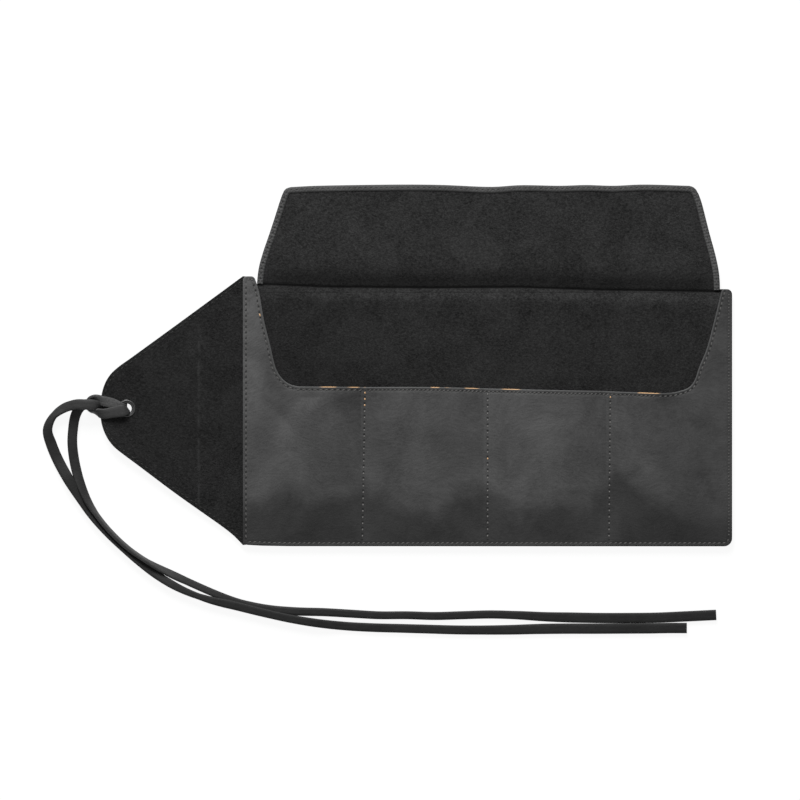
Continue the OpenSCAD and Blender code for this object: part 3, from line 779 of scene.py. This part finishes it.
# Pocket leather: rises from its seams to the middle of each pocket's mouth
pocket = {"gap": 6.4, "seam": 2.8, "slack": 34.1, "lip": 0.07, "rowInset": 2.1, "uneven": 0.22,
          "unevenSize": 44, "rounding": 0.55, "seamDip": 0.28, "dipHalf": 0.75, "clearance": 0.02}
# Below this line the pocket leather is darkened with painted shade, where each pocket falls away from the
# lamp towards its foot
paintedShadeLine = [
    (0, -147), (12, -141), (30, -132), (50, -135), (66, -139), (79, -124), (84, -132), (102, -141),
    (121, -142), (141, -137), (158, -129), (167, -138), (180, -145), (196, -141), (205, -135),
    (225, -137), (236, -131), (241, -113), (251, -123), (264, -135), (283, -145), (296, -150),
    (316, -154)]
# How pale the pocket leather is, from left to right
toneLine = [
    (0, 0.88), (18, 0.9), (60, 0.89), (120, 0.92), (160, 0.97), (200, 1.0), (232, 0.96),
    (250, 0.83), (280, 0.74), (316, 0.76)]
# Patches that wear paler or darker: x, y, half length, half width, turn in degrees, strength
clouds = [
    (31, -102, 17, 6, -72, 0.12), (60, -86, 13, 6, 20, 0.1), (95, -80, 16, 5, 5, 0.02),
    (111, -115, 14, 6, -60, 0.12), (128, -97, 12, 8, 60, -0.12), (195, -86, 8, 6, 40, 0.14),
    (201, -109, 14, 5, -75, 0.1), (172, -97, 10, 8, 50, -0.1), (258, -113, 11, 5, -35, 0.26),
    (299, -90, 14, 10, 80, -0.1), (244, -84, 10, 4, -70, 0.1), (70, -112, 12, 7, 70, -0.08)]


def cloudShade(plan):
    shade = np.ones(len(plan))
    for x, y, long, wide, turn, strength in clouds:
        c, s = math.cos(math.radians(turn)), math.sin(math.radians(turn))
        dx, dy = plan[:, 0] - x, plan[:, 1] - y
        shade += strength * np.exp(-((dx * c + dy * s) / long) ** 2 - ((dy * c - dx * s) / wide) ** 2)
    return shade


# Creases that fan out from the foot of the third pocket
fan = {"at": (178, -167), "reach": 34, "depth": 0.32, "folds": 13}


def fanFolds(plan):
    dx, dy = plan[:, 0] - fan["at"][0], plan[:, 1] - fan["at"][1]
    far = np.hypot(dx, dy)
    angle = np.arctan2(dy, dx)
    strength = smoothStep(far, 3, 10) * (1 - smoothStep(far, fan["reach"] * 0.4, fan["reach"]))
    spread = smoothStep(angle, 0.7, 1.2) * (1 - smoothStep(angle, 1.9, 2.5))
    return fan["depth"] * strength * spread * np.cos(fan["folds"] * angle + 0.05 * far)


def mouthAt(x):
    return lineAt([(-10, -63.8)] + mouthLine + [(330, -68.0)], x)


def pocketRise(plan):
    x, y = plan[:, 0], plan[:, 1]
    rise = np.zeros(len(x))
    mouth = mouthAt(x)
    deep = mouth - panelLow - pocket["seam"]
    t = (mouth - y) / deep
    below = np.clip((t - pocket["lip"]) / (1 - pocket["lip"]), 0, 1)
    for i in range(4):
        left = flapCuts[i] + pocket["seam"]
        far = flapCuts[i + 1] - pocket["seam"]
        slack = (pocket["slack"] - pocket["seam"]) * (1 - below) ** 3
        if i == 0:
            left = left + slack
        if i == 3:
            far = far - slack
        u = (x - left) / (far - left)
        inside = (u > 0) & (u < 1) & (t > -0.02) & (t < 1)
        uneven = 1 + pocket["uneven"] * swell(plan, pocket["unevenSize"], 20.0 + i)
        full = pocket["gap"] * 4 * u * (1 - u) * (1 - np.clip(t, 0, 1) ** 4) * uneven
        easing = smoothStep(u, 0, 0.4) if i == 0 else smoothStep(1 - u, 0, 0.4) if i == 3 else 1
        rise = np.where(inside, full * easing, rise)
    return rise + fanFolds(plan) * (rise > 0.1)


def waysOf(points):
    way = np.gradient(points, axis=0)
    return way / np.linalg.norm(way, axis=1)[:, None]


def offsetLine(line, gap):
    pts = np.array(line)
    way = waysOf(pts)
    return asPairs(pts + np.stack([way[:, 1], -way[:, 0]], axis=1) * gap)


# Seam rows of the pocket leather
inset = pocket["rowInset"]
scoopLine = smooth(scoopLeft, 1.5) + smooth(mouthLine, 3)[1:-1] + smooth(scoopRight, 1.5)
scoopRow = offsetLine(scoopLine, inset)
earRow = [(2.6, 5.7), (7.0, 5.2)]
leftRow = [(inset, 3.4), (inset, panelLow + inset + 1.6)]
lowRow = [(inset + 0.8, panelLow + inset), (28, foot + inset)] \
    + arc(right - 5.2, foot + 5.2, 5.2 - inset, -90, 0, 5)
rightRow = [(right - inset, foot + 6.5), (right - inset, -3.5)]


# A seam row: line, stitch length, and how its thread lies and shows; pale lightens its thread as a
# painted highlight of the lamp on the stitches
def seam(line, pitch, slant=10, tilt=0, share=0.6, shift=0.5, width=0.8, pale=0.0, faint=0.0, tan=()):
    return {"line": line, "pitch": pitch, "slant": slant, "tilt": tilt, "share": share, "shift": shift,
            "width": width, "pale": pale, "faint": faint, "tan": tan}


seamRows = [
    seam(earRow, 2.4, slant=0, faint=0.45, pale=0.3),
    seam(leftRow, 3.6, tilt=2, pale=0.12, faint=0.1),
    seam(lowRow, 3.2, slant=16, share=0.7, faint=0.9, pale=0.08),
    seam(rightRow, 2.1, slant=70, faint=0.8, pale=0.05, width=0.7),
    seam([p for p in scoopRow if p[0] < 34], 3.5, tilt=2, pale=0.1, tan=(6,)),
    seam([p for p in scoopRow if 33 < p[0] < 80], 3.7, slant=25, pale=0.05, faint=0.15),
    seam([p for p in scoopRow if 79 < p[0] < 268], 2.65, slant=38, share=0.7, pale=0.02, faint=0.22),
    seam([p for p in scoopRow if p[0] > 267], 3.4, slant=14, pale=0.15)]
# Each divider leans a little, as its stitcher left it
for fold, lean, tanStitches in zip(rollFolds, (-1.7, 0.0, -0.9), ((0, 1, 2), (10,), (0,))):
    top = mouthAt(np.array([fold]))[0] - 1.2 * inset
    seamRows.append(seam(
        [(fold - 0.3, top), (fold - 0.3 + lean, foot + inset + 1.8)], 4.1, slant=4, share=0.32,
        shift=0.3, width=0.95, pale=0.45, tan=tanStitches))


# Nearest seam row: stitches counted along it, distance from it, stitch length, and the distance that
# its holes show by, longer for a faint row
def rowFields(plan):
    best = np.full(len(plan), 1e9)
    along, step, holes = np.zeros(len(plan)), np.zeros(len(plan)), np.zeros(len(plan))
    for row in seamRows:
        far, run, _ = nearestOn(plan, row["line"])
        total = runOf(row["line"])[-1]
        count = max(1, round(total / row["pitch"]))
        closer = far < best
        along = np.where(closer, run / total * count, along)
        step = np.where(closer, total / count, step)
        holes = np.where(closer, far + row["faint"], holes)
        best = np.where(closer, far, best)
    return along, best, step, holes


# Where the mouth's cut edge shows raw leather
rawSpans = [
    (50, 61), (68, 76), (78, 80), (121, 128), (131, 134), (143, 153), (167, 180), (255, 270)]


def frontTop(plan):
    side = rowFields(plan)[1]
    return seamTop + pocketRise(plan) - pocket["seamDip"] * np.exp(-(side / pocket["dipHalf"]) ** 2)


def frontBottom(plan):
    return suedeTop + pocket["clearance"] + pocketRise(plan)


# Cuts across a sheet: closer together at the folds, and one where its sections part
def foldLines(lines, step, clear):
    for fold in rollFolds:
        lines = [x for x in lines if abs(x - fold) > 4] + every(fold - 4, fold + 4, step)
    for split in pieceSplits[1:4]:
        lines = [x for x in lines if abs(x - split) > clear] + [split]
    return sorted(lines)


def addPocketFront():
    fine = 0.6
    xLines = every(0.6, 4.2, fine) + every(5, 38, 1.1)[1:] + every(38, 280, 1.8)[1:-1] \
        + every(280, 312, 1.1) + every(312.6, 316.6, fine)
    yLines = every(panelLow + 0.7, panelLow + 4.2, fine) + every(panelLow + 5.5, -72, 1.8)[:-1] \
        + every(-72, -61.6, 0.65) + every(-60.5, 7, 1.5)
    sheet = cutSheet(frontOutline, (0.25, 0.35, 0.5), foldLines(xLines, 0.8, 0.3), sorted(yLines))
    for i in range(4):
        part = sectionFrom(sheet, -99 if i == 0 else pieceSplits[i], pieceSplits[i + 1])
        plan, rim, isUpper = thicken(part, frontOutline, frontTop, frontBottom, pocket["rounding"])
        x, y = plan[:, 0], plan[:, 1]
        along, side, step, holes = rowFields(plan)
        spans = sum(smoothStep(x, a, a + 2) * smoothStep(b - x, 0, 2) for a, b in rawSpans)
        raw = np.clip(spans, 0, 1) * (rim < 0.45) * (y > -69) * isUpper
        # The cut edges at the mouth, scoops and ear show paler, partly edge wear and partly painted
        # highlight where they face the lamp; the edges at the foot and sides are darker, burnished
        pale = np.where((y < panelLow + 12) | (x > panelRight - 4) | ((x < 1.5) & (y < 0)), 0.0, 1.0)
        burnt = np.clip((0.9 - rim) / 0.5, 0, 1) * (1 - pale)
        ear = 0.39 * (1 - smoothStep(x, 6, 20)) * smoothStep(y, -100, -62)
        tone = (lineAt(toneLine, x) + ear) * cloudShade(plan) * (1 - 0.6 * burnt * (x > 2))
        fields = {"rim": np.clip((0.8 - rim) / 0.5, 0, 1) * pale * 0.55, "raw": raw,
                  "row": np.stack([along, np.where(isUpper, holes, 9), step], axis=1),
                  "aboveShadeLine": y - lineAt(paintedShadeLine, x), "tone": tone}
        piece = finishPiece(part, f"pocket_leather_{i + 1}", pocketLeather, sharp=60, fields=fields)
        attach(piece, i, f"pocket_front_{i + 1}")
    sheet.free()
    print("pocket leather: 4 sections")


# Rides on panel_1 for the first section; each other section, which reaches across the fold at its left,
# has its place baked in
def attach(piece, i, node):
    if i == 0:
        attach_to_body(piece, "panel_1")
    else:
        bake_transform(piece)
    standFor(node)


addPocketFront()


# Back leather and suede of the panel, one piece for each section
def addPanelLayers():
    near = bend["wingHalf"]
    xLines = foldLines(every(near, panelRight - 1, 3), 1, 0.4)
    yLines = every(panelLow + 1.5, -74, 4)[:-1] + every(-74, -20, 2.5)[:-1] + every(-20, -7, 1.3)[:-1] \
        + every(-7, 6.5, 0.65)
    sheet = cutSheet(panelOutline, (0.3, 0.5), xLines, sorted(yLines))
    for label, node, ply in (("back", "back_leather", leatherPly), ("lining", "lining", suedePly)):
        low, high, material, slot = ply
        for i in range(4):
            part = sectionFrom(sheet, near if i == 0 else pieceSplits[i], pieceSplits[i + 1])
            plan, rim, _ = thicken(
                part, panelOutline, lambda p: high + windowLift(p) - (material is suede) * groove(p),
                lambda p: low + windowLift(p), 0.25)
            fields = edgeFields(plan, rim)
            piece = finishPiece(part, f"{label}_{i + 1}", material, sharp=70, fields=fields)
            attach(piece, i, f"{node}_{i + 1}")
    sheet.free()
    print("panel: back leather and suede, 4 sections each")


def windowLift(plan):
    return restLift(plan) * smoothStep(plan[:, 1], -62, -40)


# Fields of a sheet: rim on its cut edge, the suede's tone with its painted light, and crease, a line of
# painted shade along the fold
def edgeFields(plan, rim):
    e = fromCrease(plan)
    return {
        "rim": np.clip((0.9 - rim) / 0.6, 0, 1), "tone": suedeToneAndPaintedLight(plan),
        "crease": np.exp(-(e / 0.7) ** 2) * (plan[:, 0] > 8)}


addPanelLayers()


# Flap: leather outside, suede inside, split at the roll folds and bent across its own fold
flap = {"hemWidth": 3.9, "hemInset": 0.1, "stitch": 3.45, "ridge": 2.0, "ridgeDepth": 0.18,
        "lean": 0.9, "topFrom": 61}
knuckle = {"turn": 43, "lastTurn": 49, "steps": 4, "dipHalf": 1.3, "dipTop": 0.45}


def attachFlap(piece, node):
    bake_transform(piece)
    standFor(node)


# A rounded edge beyond a roll fold, hidden in the next section until the roll closes, and thin where
# the crease dips
def addKnuckle(bm, fold, side):
    faces = [f for f in bm.faces if all(abs(v.co.x - fold) < 0.02 for v in f.verts)]
    copied = bmesh.ops.duplicate(bm, geom=partsOf(faces))["geom"]
    dipAt = lineAt(creaseLine, fold)
    for v in copied:
        if isinstance(v, bmesh.types.BMVert) and abs(v.co.y - dipAt) < knuckle["dipHalf"]:
            v.co.z = min(v.co.z, knuckle["dipTop"])
    angle = math.radians(knuckle["lastTurn" if fold == rollFolds[2] else "turn"])
    bmesh.ops.spin(bm, geom=copied, cent=(fold, 0, rollAxisZ), axis=(0, 1, 0), angle=-side * angle,
                   steps=knuckle["steps"], use_merge=False)
    bmesh.ops.recalc_face_normals(bm, faces=bm.faces[:])


def insetOutline(outline, gap):
    bm = bmesh.new()
    core = bm.faces.new([bm.verts.new((x, y, 0)) for x, y in outline])
    bmesh.ops.inset_region(bm, faces=[core], thickness=gap, use_even_offset=True, use_boundary=True)
    found = [(v.co.x, v.co.y) for v in core.verts]
    bm.free()
    return found


def addFlap():
    xLines = every(12, 306, 3)
    for fold in rollFolds:
        xLines = [x for x in xLines if abs(x - fold) > 1.2] + [fold]
    yLines = every(-2.5, 6, 0.65) + every(7.5, 64, 3)
    layers = (("flap_back", "flap_leather", leatherPly), ("flap_suede", "flap_lining", suedePly))
    sheet = cutSheet(flapOutline, (0.25, 0.35), sorted(xLines), sorted(yLines))
    for label, node, (low, high, material, slot) in layers:
        for i in range(4):
            part = sectionFrom(sheet, flapCuts[i], flapCuts[i + 1])
            thicken(part, flapOutline, lambda p: high + restLift(p) - (material is suede) * groove(p),
                    lambda p: low + restLift(p), 0.3)
            if material is outerLeather:
                for fold, side in ((flapCuts[i], -1), (flapCuts[i + 1], 1)):
                    if fold in rollFolds:
                        addKnuckle(part, fold, side)
            plan = planOf(part)
            fields = edgeFields(plan, nearestOn(plan, flapOutline, closed=True)[0])
            piece = finishPiece(part, f"{label}_{i + 1}", material, sharp=70, fields=fields)
            attachFlap(piece, f"{node}_{i + 1}")
    sheet.free()
    print("flap: leather and suede, 4 sections each")


addFlap()


# The flap's three free edges, up to where each side meets the crease
def hemLine(gap):
    side = [p for p in flapOutline if p[1] > (4.5 if p[0] < 150 else 1)]
    return offsetLine([(9.1, 2.7)] + side + [(308.9, -1.3)], gap)


# Hem: a strip folded over the flap's three free edges
def addHem():
    line = smooth(hemLine(flap["hemInset"] + flap["hemWidth"] / 2), 0.5)
    total = runOf(line)[-1]
    count = round(total / flap["stitch"])
    for i in range(4):
        part = sweepHem(line, flapCuts[i], flapCuts[i + 1])
        plan = planOf(part)
        far, run, side = nearestOn(plan, line)
        outer = np.where(side > 0, far, -far)
        onTop = plan[:, 1] > flap["topFrom"]
        holes = far + np.where(onTop | (plan[:, 0] > 290), 0.5, 0.1)
        row = np.stack([run / total * count, holes, np.full(len(run), total / count)], axis=1)
        # rim darkens a burnished band along one side of the hem and, as painted shade, the hollows
        # between its ribs
        phase = (run + outer * flap["lean"] * onTop) / flap["ridge"]
        ribs = 0.5 - 0.5 * np.sin(math.tau * phase)
        rimShade = np.clip(np.clip((outer - 1.2) / 0.6, 0, 1) * 0.6 + 0.4 * ribs, 0, 1)
        fields = {"rim": rimShade, "row": row, "raw": np.zeros(len(run))}
        piece = finishPiece(part, f"hem_{i + 1}", hemLeather, sharp=80, fields=fields)
        attachFlap(piece, f"flap_hem_{i + 1}")
    print("hem: 4 sections")


# Crowned and ribbed strip along a line in plan, cut at the folds
def sweepHem(line, low, high):
    pts = np.array(line)
    run = runOf(pts)
    way = waysOf(pts)
    half = flap["hemWidth"] / 2
    profile = [
        (-half, -0.25), (-half, 0.12), (-half + 0.3, 0.34), (-half + 0.9, 0.6), (-0.45, 0.72), (0, 0.55),
        (0.45, 0.74), (half - 0.9, 0.7), (half - 0.3, 0.5), (half, 0.2), (half, -0.25)]
    bm = bmesh.new()
    lift = restLift(pts)
    face = bm.faces.new([bm.verts.new((0, 0, 0)) for _ in profile])
    keep = [k for k in range(len(pts)) if low - 3 < pts[k][0] < high + 3]  # a little past each cut
    for k in keep:
        if k != keep[0]:
            face = bmesh.ops.extrude_discrete_faces(bm, faces=[face])["faces"][0]
        lean = flap["lean"] if pts[k][1] > flap["topFrom"] else 0.0
        for v, (across, up) in zip(face.verts, profile):
            wave = math.sin(math.tau * (run[k] + across * lean) / flap["ridge"])
            crest = up + flap["ridgeDepth"] * wave * (up > 0.3)
            v.co = (pts[k][0] + way[k][1] * across, pts[k][1] - way[k][0] * across,
                    suedeTop + crest + lift[k])
    bmesh.ops.recalc_face_normals(bm, faces=bm.faces[:])
    for at, normal in ((low, (-1, 0, 0)), (high, (1, 0, 0))):
        found = bmesh.ops.bisect_plane(bm, geom=bm.verts[:] + bm.edges[:] + bm.faces[:], dist=0.001,
                                       plane_co=(at, 0, 0), plane_no=normal, clear_outer=True)["geom_cut"]
        rimEdges = [g for g in found if isinstance(g, bmesh.types.BMEdge)]
        if rimEdges:
            bmesh.ops.holes_fill(bm, edges=rimEdges, sides=0)
    return bm


addHem()


# Wing: leather and suede, leaning on the lace under its eyelet, with a faint crease across
wingCrease = {"x": -28.5, "half": 0.8, "strength": 0.34, "low": -140, "high": -26}


def attachWing(piece, node):
    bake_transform(piece)
    standFor(node)


def addWing():
    crease = wingCrease["x"]
    xLines = every(-89, crease - 2.4, 3) + every(crease - 1.6, crease + 1.6, 0.8) \
        + every(crease + 2.4, -3, 3) + every(-2.2, 2.2, 0.8)[:-1]
    yLines = every(-164, 6, 3.2)
    inner = insetOutline(wingOutline, 0.35)
    layers = (("wing_back", "wing_leather", leatherPly, wingOutline),
              ("wing_suede", "wing_lining", suedePly, inner))
    for label, node, (low, high, material, slot), outline in layers:
        part = cutSheet(outline, (0.25, 0.35), xLines, yLines)
        cutHole(part, eyelet["at"], eyelet["barrel"])
        plan, rim, _ = thicken(part, outline, lambda p: high + wingLift(p),
                               lambda p: low + wingLift(p), 0.3)
        x, y = plan[:, 0], plan[:, 1]
        frayed = np.clip(0.55 + 1.3 * swell(plan, 3.2, 5.5), 0, 1)
        frayed = frayed * (y < wingCrease["high"]) * (y > wingCrease["low"])
        worn = wingCrease["strength"] * frayed * np.exp(-((x - crease) / wingCrease["half"]) ** 2)
        piece = finishPiece(part, label, material, fields={**edgeFields(plan, rim), "worn": worn})
        attachWing(piece, node)
    print("wing: leather and suede")


addWing()


# Stitches: short rounded bars of thread between two holes, each turned a little across its row
stitch = {"height": 0.5, "backHeight": 0.3, "backShare": 0.6, "onHem": 0.45, "onWing": 0.12}


def ballPattern():
    bm = bmesh.new()
    bmesh.ops.create_uvsphere(bm, u_segments=8, v_segments=6, radius=1)
    bm.verts.index_update()
    points = [v.co.copy() for v in bm.verts]
    corners = [[v.index for v in f.verts] for f in bm.faces]
    bm.free()
    return points, corners


ballPoints, ballCorners = ballPattern()


# One bar of thread for each stitch of a row, on the front or on the back
def sewRow(bm, row, levelOf, low=-1e9, high=1e9, onBack=False):
    line = np.array(row["line"], float)
    layers = [bm.verts.layers.float.get(name) or bm.verts.layers.float.new(name)
              for name in ("tan", "pale")]
    run = runOf(line)
    count = max(1, round(run[-1] / row["pitch"]))
    step = run[-1] / count
    half = step * (stitch["backShare"] if onBack else row["share"]) / 2
    tall = stitch["backHeight"] if onBack else stitch["height"]
    middles = (np.arange(count) + row["shift"]) * step
    ends = [np.stack([np.interp(middles + d, run, line[:, k]) for k in (0, 1)], axis=1)
            for d in (-half, half)]
    levels = [levelOf(e) for e in ends]
    for k in range(count):
        (ax, ay), (bx, by) = ends[0][k], ends[1][k]
        x, y = (ax + bx) / 2, (ay + by) / 2
        if not low < x <= high:
            continue
        za, zb = levels[0][k], levels[1][k]
        turn = math.atan2(by - ay, bx - ax) + math.radians(row["slant"])
        dive = math.atan2(za - zb, 2 * half) + math.radians(row["tilt"])
        sink = -0.1 if onBack else tall * 0.25
        place = Matrix.Translation((x, y, (za + zb) / 2 + sink)) @ Matrix.Rotation(turn, 4, "Z") \
            @ Matrix.Rotation(dive, 4, "Y") @ Matrix.Diagonal((half, row["width"] / 2, tall / 2, 1))
        made = [bm.verts.new(place @ p) for p in ballPoints]
        for corners in ballCorners:
            bm.faces.new([made[c] for c in corners])
        isTan = k in row["tan"] and not onBack
        for v in made:
            v[layers[0]], v[layers[1]] = float(isTan), 0.0 if onBack else row["pale"]


def addPanelStitches():
    lows = [-99] + pieceSplits[1:4]
    for i in range(4):
        bm = bmesh.new()
        for row in seamRows:
            sewRow(bm, row, frontTop, lows[i], pieceSplits[i + 1])
            sewRow(bm, row, windowLift, lows[i], pieceSplits[i + 1], onBack=True)
        piece = finishPiece(bm, f"panel_seam_{i + 1}", thread)
        attach(piece, i, f"panel_stitching_{i + 1}")
    print("panel seams sewn")


def addFlapStitches():
    row = seam(hemLine(flap["hemInset"] + flap["hemWidth"] / 2), flap["stitch"], slant=8, share=0.62)
    for i in range(4):
        bm = bmesh.new()
        sewRow(bm, row, lambda p: suedeTop + stitch["onHem"] + restLift(p), flapCuts[i],
               flapCuts[i + 1])
        sewRow(bm, row, restLift, flapCuts[i], flapCuts[i + 1], onBack=True)
        piece = finishPiece(bm, f"hem_seam_{i + 1}", thread)
        attachFlap(piece, f"flap_stitching_{i + 1}")
    print("hem seam sewn")


def addWingStitches():
    row = seam(offsetLine(smooth(wingEdge, 2.5), -2.2)[1:-1], 3.6, slant=8)
    bm = bmesh.new()
    sewRow(bm, row, lambda p: suedeTop + wingLift(p) - stitch["onWing"])
    sewRow(bm, row, wingLift, onBack=True)
    attachWing(finishPiece(bm, "wing_seam", blackThread), "wing_stitching")
    print("wing seam sewn")


addPanelStitches()
addFlapStitches()
addWingStitches()


# Eyelet and the washer behind it, turned from their profiles and leaning with the wing
def turnRing(profile, steps=72):
    bm = bmesh.new()
    verts = [bm.verts.new((r, 0, z)) for r, z in profile]
    edges = [bm.edges.new((a, b)) for a, b in zip(verts, verts[1:] + verts[:1])]
    bmesh.ops.spin(bm, geom=verts + edges, cent=(0, 0, 0), axis=(0, 0, 1), angle=math.tau, steps=steps,
                   use_merge=True)
    bmesh.ops.remove_doubles(bm, verts=bm.verts[:], dist=0.001)
    bmesh.ops.recalc_face_normals(bm, faces=bm.faces[:])
    lean = Matrix.Translation((0, 0, wingAxisZ)) @ Matrix.Rotation(bend["wingLean"], 4, "Y") \
        @ Matrix.Translation((eyelet["at"][0], eyelet["at"][1], -wingAxisZ))
    bm.transform(lean)
    return bm


def addEyelet():
    hole, barrel, flange, bead, rim = (eyelet[k] for k in ("hole", "barrel", "flange", "bead", "washer"))
    crown = [(flange - bead + bead * math.cos(a), suedeTop + 0.3 + bead * math.sin(a))
             for a in (math.pi * k / 8 for k in range(9))]
    throat = [(barrel - 0.1, suedeTop + 0.25), (hole + 0.3, suedeTop + 0.1), (hole, suedeTop - 0.5),
              (hole, 0.1)]
    outside = [(barrel, 0.1), (barrel, suedeTop - 0.1), (flange - 0.1, suedeTop - 0.1)]
    ring = turnRing(outside + crown + throat)
    rideWing(finishPiece(ring, "eyelet_ring", gunmetal), "eyelet")
    washer = turnRing([(barrel, 0.02), (barrel + 0.25, -0.08), (rim - 0.5, -0.08), (rim, 0.1), (rim, 0.4),
                       (barrel, 0.4)])
    rideWing(finishPiece(washer, "washer_ring", gunmetal), "eyelet_washer")
    print("eyelet: flange and washer")


addEyelet()


# Floor, light and view
stage = {"floor": 6.0, "floorZ": -0.0003, "floorOwn": 0.9, "floorLit": 0.14, "floorPlain": 0.8,
         "fill": 0.36, "key": 82.0, "keyAt": (-0.5, 2.2, 1.45), "keySize": 1.2}


def addFloor():
    bm = bmesh.new()
    bmesh.ops.create_grid(bm, x_segments=1, y_segments=1, size=stage["floor"])
    mesh = bpy.data.meshes.new("floor")
    bm.to_mesh(mesh)
    bm.free()
    mesh.transform(Matrix.Translation((0, 0, stage["floorZ"])))
    floor = addObject("floor", mesh)
    material = bpy.data.materials.new("floor")
    tree = startNodes(material)
    ray = put(tree, "ShaderNodeLightPath").outputs
    seen = calc(tree, "MAXIMUM", ray["Is Camera Ray"], ray["Is Glossy Ray"])
    seen = calc(tree, "MAXIMUM", seen, ray["Is Transmission Ray"])
    plain = put(tree, "ShaderNodeBsdfDiffuse", {"Color": grey(stage["floorPlain"])}).outputs[0]
    lit = put(tree, "ShaderNodeBsdfDiffuse", {"Color": grey(stage["floorLit"])}).outputs[0]
    own = put(tree, "ShaderNodeEmission", {"Color": grey(1), "Strength": stage["floorOwn"]}).outputs[0]
    shown = put(tree, "ShaderNodeAddShader", {0: lit, 1: own}).outputs[0]
    both = put(tree, "ShaderNodeMixShader", {0: seen, 1: plain, 2: shown}).outputs[0]
    put(tree, "ShaderNodeOutputMaterial", {"Surface": both})
    mesh.materials.append(material)


def addWorld():
    world = bpy.data.worlds.new("studio")
    bpy.context.scene.world = world
    tree = startNodes(world)
    ray = put(tree, "ShaderNodeLightPath").outputs
    seen = calc(tree, "MAXIMUM", ray["Is Camera Ray"], ray["Is Transmission Ray"])
    level = remap(tree, seen, 0, 1, stage["fill"], 1.0)
    shade = put(tree, "ShaderNodeBackground", {"Color": grey(1), "Strength": level})
    put(tree, "ShaderNodeOutputWorld", {"Surface": shade.outputs[0]})


def addLamp(name, place, size, power):
    data = bpy.data.lights.new(name, "AREA")
    data.shape, data.size, data.size_y = "RECTANGLE", size, size
    data.energy = power
    lamp = addObject(name, data)
    lamp.location = place
    lamp.rotation_euler = (-Vector(place)).to_track_quat("-Z", "Y").to_euler()


addFloor()
addWorld()
addLamp("key", stage["keyAt"], stage["keySize"], stage["key"])
bpy.context.scene.view_settings.view_transform = "Standard"
print("stage: floor, world and a lamp")
